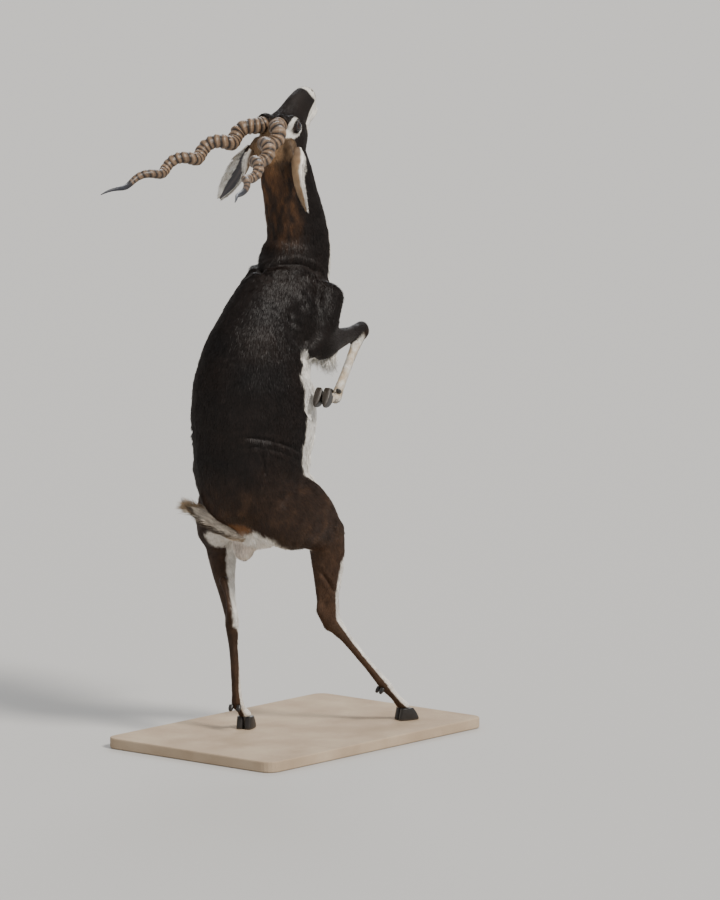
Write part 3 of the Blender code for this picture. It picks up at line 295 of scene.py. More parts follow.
# Folds of the skin: places along the fold, half width, depth, and whether the other side has it too
FOLDS = [
    ([(0.062, 0.031, 1.049), (0.071, -0.006, 1.067), (0.098, -0.035, 1.075), (0.145, -0.062, 1.073),
      (0.177, -0.071, 1.060), (0.200, -0.072, 1.045)], 0.0070, 0.0050, True),
    ([(-0.080, -0.077, 0.698), (-0.066, -0.088, 0.700), (-0.048, -0.101, 0.696), (-0.020, -0.116, 0.690),
      (0.029, -0.125, 0.674), (0.075, -0.120, 0.655)], 0.0052, 0.0030, True),
    ([(-0.066, -0.088, 0.684), (-0.045, -0.103, 0.678), (-0.012, -0.117, 0.670), (0.030, -0.124, 0.654)],
     0.0048, 0.0018, True),
    ([(-0.042, -0.103, 0.668), (-0.036, -0.105, 0.635), (-0.031, -0.105, 0.606)], 0.0044, 0.0032, True),
    ([(0.105, -0.091, 1.000), (0.080, -0.088, 0.965), (0.072, -0.095, 0.925), (0.100, -0.104, 0.880)],
     0.0130, 0.0040, True),
    ([(0.090, -0.070, 1.030), (0.060, -0.066, 1.000), (0.045, -0.080, 0.950), (0.050, -0.095, 0.900)],
     0.0150, 0.0026, True),
    ([(0.178, -0.078, 1.030), (0.170, -0.092, 0.990), (0.160, -0.100, 0.950)], 0.0090, 0.0030, True),
    ([(0.000, -0.108, 0.600), (0.050, -0.124, 0.590), (0.100, -0.122, 0.575)], 0.0120, 0.0022, True),
    ([(0.030, -0.060, 0.990), (0.070, -0.080, 0.955), (0.105, -0.092, 0.940)], 0.0060, 0.0024, True),
    ([(0.166, -0.097, 0.371), (0.183, -0.107, 0.342), (0.209, -0.109, 0.309)], 0.0046, 0.0034, False),
    ([(0.186, -0.120, 0.395), (0.190, -0.116, 0.360), (0.190, -0.106, 0.315)], 0.0040, 0.0020, False),
    ([(0.036, -0.119, 0.550), (0.060, -0.128, 0.515), (0.110, -0.133, 0.480)], 0.0130, 0.0036, True),
]

# Longer hair: place, radius, count, length, lie (ahead, left, up), lift, and whether it is white all over
LONG_HAIR = [
    ((0.178, -0.076, 0.905), 0.040, 700, 0.030, (-0.1, -0.1, -1.0), 0.30, False),
    ((0.178, 0.076, 0.905), 0.040, 700, 0.030, (-0.1, 0.1, -1.0), 0.30, False),
    ((0.204, -0.086, 0.884), 0.026, 620, 0.040, (0.0, 0.0, -1.0), 0.45, True),
    ((0.204, 0.086, 0.890), 0.026, 620, 0.040, (0.0, 0.0, -1.0), 0.45, True),
    ((0.190, 0.000, 0.620), 0.045, 260, 0.022, (0.1, 0.0, -1.0), 0.30, False),
    ((0.150, -0.085, 0.640), 0.050, 420, 0.020, (0.0, 0.0, -1.0), 0.20, False),
    ((0.150, 0.085, 0.640), 0.050, 420, 0.020, (0.0, 0.0, -1.0), 0.20, False),
]


# Small helpers


def unit(v):
    v = np.asarray(v, float)
    return v / np.maximum(np.linalg.norm(v, axis=-1, keepdims=True), 1e-12)


def place(ahead, left, up):
    return np.array([left - BASE_LEFT, BASE_AHEAD - ahead, up + BASE_THICK])


def direction(ahead, left, up):
    return unit([left, -ahead, up])


def on_animal(points):
    """Points of the frame as (ahead, left, up)."""
    return np.stack([BASE_AHEAD - points[:, 1], points[:, 0] + BASE_LEFT, points[:, 2] - BASE_THICK], -1)


UP = direction(0, 0, 1)
FORWARD = direction(
    math.cos(HEAD_PITCH) * math.cos(HEAD_YAW),
    math.cos(HEAD_PITCH) * math.sin(HEAD_YAW),
    math.sin(HEAD_PITCH),
)
RIGHTWARD = direction(math.sin(HEAD_YAW), -math.cos(HEAD_YAW), 0.0)
RAISED = unit(np.cross(RIGHTWARD, FORWARD))


def head(forward, right, raised):
    return place(*HEAD_AT) + forward * FORWARD + right * RIGHTWARD + raised * RAISED


def on_head(points):
    """Points of the frame as (forward, right, raised) on the head."""
    away = points - place(*HEAD_AT)
    return np.stack([away @ FORWARD, away @ RIGHTWARD, away @ RAISED], -1)


def above_throat(animal, height):
    """How far points are past the slanting line that crosses the neck at this height."""
    return (animal[:, 2] - height) + THROAT_SLANT * (animal[:, 0] - THROAT_AHEAD)


def square_to(along, side):
    """Three ways at right angles: along, the side way nearest to the given one, and the last."""
    first = unit(along)
    second = unit(np.asarray(side, float) - np.dot(side, first) * first)
    return first, second, np.cross(first, second)


def laid_on(normals, ways):
    """The ways, or one way for all, turned into the surface that has these normals."""
    ways = np.broadcast_to(ways, normals.shape)
    return unit(ways - normals * np.einsum("ij,ij->i", ways, normals)[:, None])


def circle(count):
    return np.linspace(0, 2 * math.pi, count, endpoint=False)


def step(x, low, high):
    """0 below low, 1 above high, smooth between."""
    t = np.clip((x - low) / (high - low), 0, 1)
    return t * t * (3 - 2 * t)


def mixed(base, over, share):
    share = np.asarray(share)[..., None]
    return np.asarray(base) * (1 - share) + np.asarray(over) * share


def amount(full):
    return full


def noise(points, size, seed=0):
    """Smooth noise between -1 and 1 with features of about this size."""
    scaled = points / size + seed * 7.13
    cell = np.floor(scaled).astype(np.int64)
    part = scaled - cell
    part = part * part * (3 - 2 * part)
    out = np.zeros(len(points))
    for corner in np.ndindex(2, 2, 2):
        x, y, z = (cell + np.array(corner)).T
        code = (x * 374761393 + y * 668265263 + z * 1274126177 + seed * 974711) & 0x7FFFFFFF
        code = ((code ^ (code >> 13)) * 1103515245) & 0x7FFFFFFF
        code = ((code ^ (code >> 15)) * 12345677) & 0x7FFFFFFF
        weight = np.ones(len(points))
        for axis, near in enumerate(corner):
            weight = weight * (part[:, axis] if near else 1 - part[:, axis])
        out += weight * (code / 0x3FFFFFFF - 1)
    return out


def line_distance(points, line):
    """How far each point is from a line through these places."""
    best = np.full(len(points), np.inf)
    for start, end in zip(line, line[1:]):
        way = end - start
        t = np.clip((points - start) @ way / (way @ way), 0, 1)
        best = np.minimum(best, np.linalg.norm(points - start - t[:, None] * way, axis=1))
    return best


def smooth_rows(rows, steps):
    """Rows of numbers on a smooth curve through these ones, with this many steps between two."""
    rows = np.array(rows, float)
    ends = np.vstack([2 * rows[0] - rows[1], rows, 2 * rows[-1] - rows[-2]])
    out = []
    for i in range(len(rows) - 1):
        before, start, end, after = ends[i:i + 4]
        for k in range(steps):
            t = k / steps
            slope = (end - before) * t
            bend = (2 * before - 5 * start + 4 * end - after) * t**2
            ease = (3 * start - before - 3 * end + after) * t**3
            out.append(0.5 * (2 * start + slope + bend + ease))
    out.append(rows[-1])
    return np.array(out)


# Meshes and objects


def mesh_of(points, faces, name):
    """A mesh of triangles or of quads from arrays."""
    points = np.ascontiguousarray(points, np.float32)
    faces = np.ascontiguousarray(faces, np.int32)
    sides = faces.shape[1]
    mesh = bpy.data.meshes.new(name)
    mesh.vertices.add(len(points))
    mesh.vertices.foreach_set("co", points.ravel())
    mesh.loops.add(faces.size)
    mesh.loops.foreach_set("vertex_index", faces.ravel())
    mesh.polygons.add(len(faces))
    mesh.polygons.foreach_set("loop_start", np.arange(len(faces), dtype=np.int32) * sides)
    mesh.update(calc_edges=True)
    return mesh


def add_object(name, mesh, material=None):
    obj = bpy.data.objects.new(name, mesh)
    bpy.context.scene.collection.objects.link(obj)
    if material is not None:
        mesh.materials.clear()
        mesh.materials.append(material)
    return obj


def add_piece(name, mesh, material, node=None):
    """A finished piece on the animal, in place of a node where one is given."""
    obj = add_object(name, mesh, material)
    if node is not None:
        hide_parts(node)
    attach(obj, "root")
    return obj


def paint(mesh, colours):
    """Paints the mesh with one colour, or with one for each vertex."""
    attribute = mesh.color_attributes.new("coat", "FLOAT_COLOR", "POINT")
    rgba = np.ones((len(mesh.vertices), 4), np.float32)
    rgba[:, :3] = np.clip(colours, 0, 1)
    attribute.data.foreach_set("color", rgba.ravel())


def paint_rings(mesh, colours):
    """Paints a ring_grid from the colours of its rings, and its two ends in their means."""
    paint(mesh, np.vstack([np.array(colours).reshape(-1, 3), colours[0].mean(0), colours[-1].mean(0)]))


def vectors(collection, field):
    out = np.empty(len(collection) * 3, np.float32)
    collection.foreach_get(field, out)
    return out.reshape(-1, 3).astype(float)


def coordinates(mesh):
    return vectors(mesh.vertices, "co")


def vertex_normals(mesh):
    return vectors(mesh.vertex_normals, "vector")


def triangles(mesh):
    mesh.calc_loop_triangles()
    out = np.empty(len(mesh.loop_triangles) * 3, np.int32)
    mesh.loop_triangles.foreach_get("vertices", out)
    return out.reshape(-1, 3)


def face_outward(mesh):
    bm = bmesh.new()
    bm.from_mesh(mesh)
    bmesh.ops.recalc_face_normals(bm, faces=bm.faces)
    bm.to_mesh(mesh)
    bm.free()


def evaluated(obj, name):
    """The object with its modifiers applied, under a new name."""
    graph = bpy.context.evaluated_depsgraph_get()
    mesh = bpy.data.meshes.new_from_object(obj.evaluated_get(graph))
    mesh.name = name
    bpy.data.objects.remove(obj)
    return add_object(name, mesh)


def signed_volume(points, faces):
    a, b, c = (points[faces[:, k]] for k in range(3))
    return np.einsum("ij,ij->i", a, np.cross(b, c)).sum()


def band_quads(low, high):
    """Quads between rows of closed rings, given as the numbers of their points."""
    return np.stack([low, np.roll(low, -1, 1), np.roll(high, -1, 1), high], -1).reshape(-1, 4)


def ring_grid(rings, name):
    """A closed body through rings of equal count, as an array of rings x spots x 3."""
    rings = np.asarray(rings, float)
    rows, count = rings.shape[:2]
    index = np.arange(rows * count).reshape(rows, count)
    quads = band_quads(index[:-1], index[1:])
    points = np.vstack([rings.reshape(-1, 3), rings[0].mean(0), rings[-1].mean(0)])
    first, last = np.full(count, rows * count), np.full(count, rows * count + 1)
    start = np.stack([np.roll(index[0], -1), index[0], first], -1)
    end = np.stack([index[-1], np.roll(index[-1], -1), last], -1)
    faces = np.vstack([quads[:, [0, 1, 2]], quads[:, [0, 2, 3]], start, end])
    if signed_volume(points, faces) < 0:
        faces = faces[:, ::-1]
    return mesh_of(points, faces, name)


# Bones, regions and the lie of the coat


def bone_table():
    """Every bone as (region, start, end, start radius, end radius), pointing the way the coat lies."""
    bones = []
    for region, rows in (("trunk", TRUNK), ("neck", NECK)):
        for low, high in zip(rows, rows[1:]):
            bones.append((region, (high[0], 0, high[1]), (low[0], 0, low[1]), high[2:], low[2:]))
    for name, joints in LIMBS.items():
        for k, (near, far) in enumerate(zip(joints, joints[1:])):
            bones.append((f"{name}_{k}", near[:3], far[:3], (near[3],) * 2, (far[3],) * 2))
    return bones


BONES = bone_table()
REGIONS = list(dict.fromkeys([bone[0] for bone in BONES])) + ["head"]


def bone_sides(region, way):
    """The ways that count as the front and as the outer side of a bone."""
    if region in ("trunk", "neck"):
        ahead, left = np.array([1.0, 0, 0]), np.array([0, 1.0, 0])
    else:
        ahead = unit(LIMB_FRONTS[region[:-2]])
        left = np.cross([0, 0, 1.0], ahead) * (-1 if "right" in region else 1)
    return unit(ahead - (ahead @ way) * way), unit(left - (left @ way) * way)


def on_skull(animal, on):
    """Which points belong to the head, from their places on the animal and on the head."""
    forward, right, raised = on.T
    skull = (forward > -0.092) & (np.abs(right) < 0.08)
    skull &= raised > -0.125 - 0.25 * np.minimum(forward, 0)
    skull &= raised > -0.112 - np.maximum(-forward - 0.02, 0) * 0.1
    return skull & (above_throat(animal, 1.290) > 0)


def anatomy(points):
    """For each point: its region, the coat's lie, and its place round the bone as fields."""
    animal = on_animal(points)
    best = np.full(len(points), np.inf)
    region = np.zeros(len(points), int)
    ventral = np.zeros(len(points))
    sideways = np.zeros(len(points))
    share = np.zeros(len(points))
    lie = np.zeros((len(points), 3))
    total = np.zeros(len(points))
    for name, start, end, near, far in BONES:
        start, end = np.array(start), np.array(end)
        way = unit(end - start)
        t = np.clip((animal - start) @ way / np.linalg.norm(end - start), 0, 1)
        out = animal - start - t[:, None] * (end - start)
        ahead, left = bone_sides(name, way)
        wide = near[0] + (far[0] - near[0]) * t
        deep = near[1] + (far[1] - near[1]) * t
        x, y = out @ ahead / deep, out @ left / wide
        along = out @ way / np.minimum(wide, deep)
        apart = np.sqrt(x * x + y * y + along * along)
        if name == "trunk":
            apart = apart + 60.0 * np.maximum(TRUNK_BOTTOM - animal[:, 2], 0.0)
        closer = apart < best
        size = np.maximum(np.hypot(x, y), 1e-6)
        best[closer] = apart[closer]
        region[closer] = REGIONS.index(name)
        ventral[closer] = (x / size)[closer]
        sideways[closer] = (y / size)[closer]
        share[closer] = t[closer]
        weight = np.exp(-5.0 * np.minimum(apart, 6.0))
        lie += weight[:, None] * way
        total += weight
    lie = unit(lie / total[:, None])
    lie = np.stack([lie[:, 1], -lie[:, 0], lie[:, 2]], -1)
    on = on_head(points)
    skull = on_skull(animal, on)
    region[skull] = REGIONS.index("head")
    blend = step(above_throat(animal, 1.275), 0.0, 0.05)
    face = unit(-FORWARD - 0.25 * RAISED)
    lie = unit(lie * (1 - blend)[:, None] + face * blend[:, None])
    return {
        "region": region, "lie": lie, "ventral": ventral, "sideways": sideways, "share": share,
        "animal": animal, "head": on, "skull": skull,
    }


def is_region(body, *starts):
    wanted = [i for i, name in enumerate(REGIONS) if name.startswith(starts)]
    return np.isin(body["region"], wanted)


def leg_parts(body, name):
    """Which points are on a leg's thigh or upper arm, shank, cannon and foot."""
    return [body["region"] == REGIONS.index(f"{name}_{k}") for k in range(4)]


def eye_frame(side):
    """An eye's middle, and the ways it looks, along its lids and up across them."""
    centre = head(EYE_AT[0], EYE_AT[1] * side, EYE_AT[2])
    look = unit(RIGHTWARD * side * 0.93 + FORWARD * 0.33 + RAISED * 0.10)
    return centre, *square_to(look, FORWARD - 0.16 * RAISED)


# The coat's colours


def trunk_colours(points, body, ragged, broad):
    """Black above, browner over the loin and haunches, partly the coat's own brown and partly painted
    sheen, and white below.
    """
    _, left, up = body["animal"].T
    # Lower down the black is painted umber with brown flecks: partly the coat's own brown, partly painted
    # sheen.
    low = step(-up, -0.66, -0.50)
    colour = mixed(BLACK, UMBER, np.clip(0.25 + 0.2 * broad + 0.75 * low, 0, 1))
    warm = step(noise(points, 0.022, 8) + 0.35 * ragged, 0.1, 0.9) * low
    colour = mixed(colour, BROWN, np.clip(0.15 * low + 0.45 * warm, 0, 1))

    # Belly and chest
    angle = np.degrees(np.arccos(np.clip(body["ventral"], -1, 1)))
    edge = np.interp(up, BELLY_HEIGHTS, BELLY_ANGLES)
    white = step(edge + 5.0 * ragged - angle, -2.5, 2.5) * is_region(body, "trunk", "neck")
    colour = mixed(colour, WHITE, white)

    # Seat, pouch, and the rump patch at the tail's root
    side = np.abs(left)
    seat = step(SEAT_TOP + 0.010 * ragged - 0.45 * np.maximum(side - 0.06, 0) - up, -0.004, 0.006)
    seat *= step(np.where(left > 0, SEAT_LEFT, SEAT_RIGHT) + 0.004 * ragged - side, -0.004, 0.012)
    seat *= is_region(body, "trunk", "hind_right_0", "hind_left_0")
    colour = mixed(colour, WHITE, seat)
    pouch = step(POUCH_RADIUS - np.linalg.norm(body["animal"] - np.array(POUCH_AT), axis=1), -0.004, 0.004)
    colour = mixed(colour, SKIN_PALE, 0.55 * pouch)
    root = np.linalg.norm(body["animal"] - np.array(RUMP_AT), axis=1)
    return mixed(colour, RUFOUS, 0.85 * step(RUMP_RADIUS + 0.006 * ragged - root, -0.010, 0.006))


def hind_leg_colours(colour, name, shade, body, ragged):
    """Dark outside and behind, white inside, with a white foot."""
    outer, front, share = body["sideways"], body["ventral"], body["share"]
    thigh, shank, cannon, foot = leg_parts(body, name)
    painted_sun = HIND_PAINTED_SUNLIGHT[name]
    # Painted sunlight: the right leg's shank is painted lighter and browner, and its cannon and foot
    # browner with tan, most of the tan down their front as a painted highlight; the left leg gets less of
    # this, as painted shade.
    sunlit = mixed(shade, np.array(BROWN) * 1.15, 0.45 * painted_sun * step(share, 0.05, 0.5))
    colour = np.where(shank[:, None], sunlit, colour)
    painted_lit_tan = painted_sun * (0.05 + 0.16 * step(ragged + 0.5 * front, 0.0, 0.8))
    brown = mixed(mixed(shade, BROWN, 0.4 * painted_sun), TAN, painted_lit_tan)
    colour = np.where((cannon | foot)[:, None], brown, colour)
    colour = mixed(colour, WHITE, step(-outer + 0.12 * ragged, 0.42, 0.56) * thigh)
    turn = np.degrees(np.arctan2(outer, front)) + 8.0 * ragged
    for part, (shares, inward, outward) in zip((shank, cannon, foot), HIND_WHITE[name]):
        inner_edge = np.interp(share, shares, inward)
        outer_edge = np.interp(share, shares, outward)
        band = step(turn - inner_edge, -5, 5) * step(outer_edge - turn, -5, 5)
        colour = mixed(colour, WHITE, band * part)
    return colour


def foreleg_colours(colour, name, body, ragged):
    """White inside the arm, and a pale cannon with a dark stripe down its front."""
    outer, front, share = body["sideways"], body["ventral"], body["share"]
    upper, arm, cannon, foot = leg_parts(body, name)
    colour = mixed(colour, WHITE, step(-outer + 0.14 * ragged, 0.30, 0.50) * upper)
    colour = mixed(colour, WHITE, step(-outer + 0.25 * front + 0.12 * ragged, 0.35, 0.55) * arm)
    pale = mixed(CREAM, WHITE, np.clip(0.5 + ragged, 0, 1))
    colour = np.where((cannon | foot)[:, None], pale, colour)
    stripe = step(front + 0.10 * ragged, 0.62, 0.78) * step(0.62 - share, -0.05, 0.1) * cannon
    knee = step(0.10 - share, -0.02, 0.05) * step(outer + 0.6 * front, 0.0, 0.4) * cannon
    colour = mixed(colour, UMBER, np.clip(stripe + knee, 0, 1))
    dusty = step(ragged + 0.4 * outer, 0.25, 0.7) * foot
    return mixed(colour, BROWN, 0.6 * dusty)


def nape_colours(colour, points, body, ragged, broad):
    """A warm patch behind the ears that fades down the neck."""
    up, on, skull = body["animal"][:, 2], body["head"], body["skull"]
    nape = step(-body["ventral"] + 0.14 * ragged, 0.20, 0.85) * step(up + 0.02 * broad, 1.085, 1.25)
    nape *= step(1.40 - up, 0.0, 0.03) * (is_region(body, "trunk", "neck") | skull)
    strands = noise(points * np.array([1, 1, 0.30]), 0.0065, 11)
    streak = np.clip(0.72 + 0.42 * strands + 0.20 * ragged + 0.20 * broad, 0, 1)
    behind = step(-0.018 - on[:, 0], 0.0, 0.02)
    brown = mixed(BROWN, RUFOUS, np.clip(0.45 + 0.6 * strands, 0, 1))
    tanned = mixed(brown, TAN, 0.75 * step(up + 0.01 * ragged, 1.27, 1.35))
    colour = mixed(colour, tanned, nape * streak * np.where(skull, behind, 1.0))
    return mixed(colour, TAN, 0.55 * behind * skull * step(on[:, 2], -0.05, 0.0) * streak)


def eye_colours(colour, points, skull, ragged):
    """White rings round the eyes, and the lids' dark rims inside them."""
    for side in (1, -1):
        centre, _, long_way, tall = eye_frame(side)
        away = points - centre
        toward = (away @ (RIGHTWARD * side)) > -0.03
        x, y = away @ long_way, away @ tall
        ring = 1.0 + 0.14 * ragged - np.hypot(x / EYE_RING[0] + EYE_RING_SHIFT, y / EYE_RING[1])
        colour = mixed(colour, WHITE, step(ring, -0.05, 0.06) * toward * skull)
        inner = 1.0 + 0.1 * ragged - np.hypot(x / EYE_RIM[0], y / EYE_RIM[1])
        colour = mixed(colour, LID_DARK, step(inner, -0.1, 0.1) * toward * skull)
    return colour


def mouth_colours(colour, points, body, ragged):
    """White lips and chin, and a dark nose, glands and mouth line."""
    skull = body["skull"]
    forward, right, raised = body["head"].T
    lip = np.interp(forward, LIP_FORWARD, LIP_RAISED)
    below = step(lip + 0.0012 * ragged - raised, -0.0012, 0.0016)
    jaw = step(forward + 0.35 * np.minimum(raised + 0.045, 0.0) + 0.003 * ragged, *JAW_WHITE)
    colour = mixed(colour, WHITE, below * jaw * skull)
    over = step(forward + 0.35 * np.minimum(raised, 0.0) + 0.0012 * ragged, *MUZZLE_WHITE)
    colour = mixed(colour, WHITE, 0.92 * over * skull)
    colour = mixed(colour, GLAND_DARK, step(1.2 - slit_distance(points, "gland"), -0.2, 0.2) * skull)
    pad = step(forward, PAD_BACK - 0.001, PAD_BACK + 0.002) * step(raised, PAD_LOW, PAD_LOW + 0.003)
    pad *= step(PAD_HALF - np.abs(right), -0.003, 0.001) * step(0.010 - raised, -0.002, 0.004)
    colour = mixed(colour, SKIN_DARK, pad * skull)
    colour = mixed(colour, SKIN_DARK, step(1.15 - slit_distance(points, "nostril"), -0.15, 0.15) * skull)
    lip_line = step(MOUTH_HALF - mouth_distance(points), -0.0007, 0.0005) * skull
    return mixed(colour, LIP_DARK, 0.92 * lip_line)


def markings(points, body):
    """The coat's colour at each point."""
    ragged = 0.5 * noise(points, 0.012, 3) + 0.5 * noise(points, 0.005, 4)
    broad = noise(points, 0.07, 5)
    colour = trunk_colours(points, body, ragged, broad)
    shade = mixed(UMBER, BROWN, np.clip(0.35 + 0.35 * broad + 0.3 * ragged, 0, 1))
    for name in LIMBS:
        if name.startswith("hind"):
            colour = hind_leg_colours(colour, name, shade, body, ragged)
        else:
            colour = foreleg_colours(colour, name, body, ragged)
    colour = nape_colours(colour, points, body, ragged, broad)
    colour = eye_colours(colour, points, body["skull"], ragged)
    return mouth_colours(colour, points, body, ragged)


def coat_length(body):
    """The coat's length at each point, in metres, with no steps between the regions."""
    neck = is_region(body, "neck")
    length = np.where(neck, 0.0105, LONG_COAT)
    for name in LIMBS:
        for k, part in enumerate(leg_parts(body, name)):
            before, here, after = LEG_COAT[k:k + 3]
            ends = [(before + here) / 2, here, here, (here + after) / 2]
            length = np.where(part, np.interp(body["share"], [0, 0.4, 0.6, 1], ends), length)
    face = 0.0062 - 0.0034 * step(body["head"][:, 0], -0.02, 0.10)
    near = step(above_throat(body["animal"], 1.255), 0.0, 0.075) * (body["skull"] | neck)
    return length * (1 - near) + face * near


# Skin

FLESH = ["head", "neck", "torso"]
for limb_side in ("left", "right"):
    FLESH += [f"hindleg_{limb_side}_{part}" for part in ("thigh", "shank", "cannon", "pastern")]
    FLESH += [f"foreleg_{limb_side}_{part}" for part in ("forearm", "cannon", "pastern")]


def largest_surface(mesh):
    """The mesh's largest closed surface: its points and triangles."""
    faces = triangles(mesh)
    points = coordinates(mesh)
    owner = np.arange(len(points))
    starts = faces[:, [0, 1, 2]].ravel()
    ends = faces[:, [1, 2, 0]].ravel()
    while True:
        before = owner.copy()
        low = np.minimum(owner[starts], owner[ends])
        np.minimum.at(owner, starts, low)
        np.minimum.at(owner, ends, low)
        owner = owner[owner]
        if (owner == before).all():
            break
    roots, counts = np.unique(owner, return_counts=True)
    keep = owner == roots[np.argmax(counts)]
    renumber = np.cumsum(keep) - 1
    return points[keep], renumber[faces[keep[faces[:, 0]]]]


# The mouth line and the slits of the nostrils and tear glands, once they are found on the skin
MARKS = {}


def find_marks(points, faces):
    """Finds the mouth line, nostrils and tear glands on the skin, on both sides of the face."""
    tree = BVHTree.FromPolygons(points.tolist(), faces.tolist())

    def hit(start, way):
        found = tree.ray_cast(Vector(start), Vector(way))[0]
        return None if found is None else np.array(found)

    mouth = []
    for angle in np.linspace(-148, 148, 49):
        t = math.radians(angle)
        rise = 0.0018 * math.cos(2 * t) + 0.0045 * math.cos(math.radians(min(abs(angle), 90)))
        way = FORWARD * math.cos(t) + RIGHTWARD * math.sin(t)
        spot = hit(head(0.106, 0.0, -0.034 + rise) + way * 0.11, -way)
        if spot is not None:
            mouth.append(spot)
    MARKS["mouth"] = np.array(mouth)
    MARKS["slits"] = []
    for side in (1, -1):
        nostril = hit(head(0.160, 0.0155 * side, 0.002), -FORWARD)
        slant = unit(RAISED * 0.8 + RIGHTWARD * side * 0.85 - FORWARD * 0.35)
        MARKS["slits"].append(("nostril", nostril, slant, *NOSTRIL_HALF))
        gland = hit(head(0.034, 0.1 * side, -0.0120), -RIGHTWARD * side)
        MARKS["slits"].append(("gland", gland, unit(FORWARD - 0.45 * RAISED), *GLAND_HALF))


def mouth_distance(points):
    """How far each point is from the mouth line, and 1 for all that aren't near it."""
    best = np.full(len(points), 1.0)
    near = np.nonzero(np.linalg.norm(points - head(0.10, 0, -0.03), axis=1) < 0.07)[0]
    best[near] = line_distance(points[near], MARKS["mouth"])
    return best


def slit_distance(points, kind):
    """How far each point is from the nearer slit of this kind, in slit sizes."""
    best = np.full(len(points), 99.0)
    for name, centre, slant, half_long, half_wide in MARKS["slits"]:
        if name == kind:
            away = points - centre
            along = away @ slant
            across = np.linalg.norm(away - along[:, None] * slant, axis=1)
            best = np.minimum(best, np.hypot(along / half_long, across / half_wide))
    return best


def fold_depth(animal):
    """How deep the folds press the skin in at each point, with a low roll beside each."""
    press = np.zeros(len(animal))
    for fold, half, depth, both in FOLDS:
        fold = np.array(fold)
        for places in [fold, fold * np.array([1, -1, 1])] if both else [fold]:
            box_low = places.min(axis=0) - 4 * half
            box_high = places.max(axis=0) + 4 * half
            near = np.nonzero(((animal > box_low) & (animal < box_high)).all(axis=1))[0]
            line = smooth_rows(places, 6)
            away = line_distance(animal[near], line)
            to_start = np.linalg.norm(animal[near] - line[0], axis=1)
            to_end = np.linalg.norm(animal[near] - line[-1], axis=1)
            fade = step(np.minimum(to_start, to_end), 0.0, 3 * half)
            groove = np.exp(-((away / half) ** 2)) - 0.35 * np.exp(-(((away - 2.1 * half) / half) ** 2))
            press[near] += depth * groove * fade
    return press


def finer_face(points, faces):
    """The skin with each triangle of the face in four, for the lids, lips and nostrils."""
    forward, right, raised = on_head(points).T
    face = (forward > -0.025) & (np.abs(right) < 0.08) & (raised > -0.085 + 0.3 * np.abs(forward - 0.03))
    bm = bmesh.new()
    bm.from_mesh(mesh_of(points, faces, "face"))
    bm.verts.ensure_lookup_table()
    edges = [edge for edge in bm.edges if face[edge.verts[0].index] and face[edge.verts[1].index]]
    bmesh.ops.subdivide_edges(bm, edges=edges, cuts=1, use_grid_fill=True)
    bmesh.ops.triangulate(bm, faces=bm.faces, quad_method="SHORT_EDGE")
    mesh = bpy.data.meshes.new("skin_whole")
    bm.to_mesh(mesh)
    bm.free()
    return mesh


def tail_rows(keys, steps):
    return smooth_rows([[*place(*key[:3]), *key[3:]] for key in keys], steps)


def fused_flesh():
    """The flesh nodes as one closed surface, with the socket at the tail's root filled."""
    bm = bmesh.new()
    for name in FLESH:
        bm.from_mesh(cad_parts[name].data)
    for vert in bm.verts:
        vert.co += vert.normal * SEAM_OVERLAP
    for row in tail_rows(TAIL[:4], 5)[:12]:
        middle = Matrix.Translation(Vector(row[:3]))
        bmesh.ops.create_icosphere(bm, subdivisions=3, radius=0.98 * float(row[3]), matrix=middle)
    mesh = bpy.data.meshes.new("skin_nodes")
    bm.to_mesh(mesh)
    bm.free()
    obj = add_object("skin_nodes", mesh)
    remesh = obj.modifiers.new("fuse", "REMESH")
    remesh.mode = "VOXEL"
    remesh.voxel_size = SKIN_VOXEL
    obj = evaluated(obj, "skin_fused")
    points, faces = largest_surface(obj.data)
    bpy.data.objects.remove(obj)
    return add_object("skin_whole", finer_face(points, faces))


def smoothed(obj):
    """The skin with the steps of its making smoothed away, and less on the face than on the body."""
    points = coordinates(obj.data)
    near = step(0.19 - np.linalg.norm(points - head(0.03, 0, -0.03), axis=1), 0.0, 0.04)
    passes = (("all", np.ones(len(points)), HEAD_ROUNDS), ("body", 1 - near, BODY_ROUNDS))
    for label, weights, rounds in passes:
        group = obj.vertex_groups.new(name=label)
        levels = np.round(weights, 1)
        for level in np.unique(levels):
            group.add(np.nonzero(levels == level)[0].tolist(), float(level), "REPLACE")
        modifier = obj.modifiers.new(label, "SMOOTH")
        modifier.factor = 0.5
        modifier.iterations = rounds
        modifier.vertex_group = label
    return evaluated(obj, "skin")


def skin_depth(points, body):
    """How far each point of the skin lies inside the solids: coat, folds, mouth, slits and muscles."""
    depth = COAT_SINK * coat_length(body) + fold_depth(body["animal"])
    depth += 0.0018 * np.exp(-((mouth_distance(points) / MOUTH_HALF) ** 2)) * body["skull"]
    depth += 0.0022 * np.exp(-(slit_distance(points, "gland") ** 2)) * body["skull"]
    nostril = slit_distance(points, "nostril")
    rim = 0.0009 * np.exp(-(((nostril - 1.7) / 0.5) ** 2))
    depth += (0.0042 * np.exp(-(nostril**2)) - rim) * body["skull"]
    around = body["animal"] * np.array([0.6, 0.6, 1.6])
    muscle = 0.0010 * noise(around, 0.040, 21) + 0.00025 * noise(around, 0.014, 22)
    return depth + muscle * is_region(body, "trunk", "neck", "hind_right_0", "hind_left_0")


def build_skin(material):
    """One closed skin in place of the flesh nodes, painted with the coat's own markings."""
    skin = smoothed(fused_flesh())
    points = coordinates(skin.data)
    find_marks(points, triangles(skin.data))
    depth = skin_depth(points, anatomy(points)) + SEAM_OVERLAP
    points = points - vertex_normals(skin.data) * depth[:, None]
    skin.data.vertices.foreach_set("co", points.astype(np.float32).ravel())
    skin.data.update()
    points = coordinates(skin.data)
    paint(skin.data, markings(points, anatomy(points)) * SKIN_SHADE)
    skin.data.materials.clear()
    skin.data.materials.append(material)
    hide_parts(*FLESH)
    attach(skin, "root")
    return skin


# Tufts


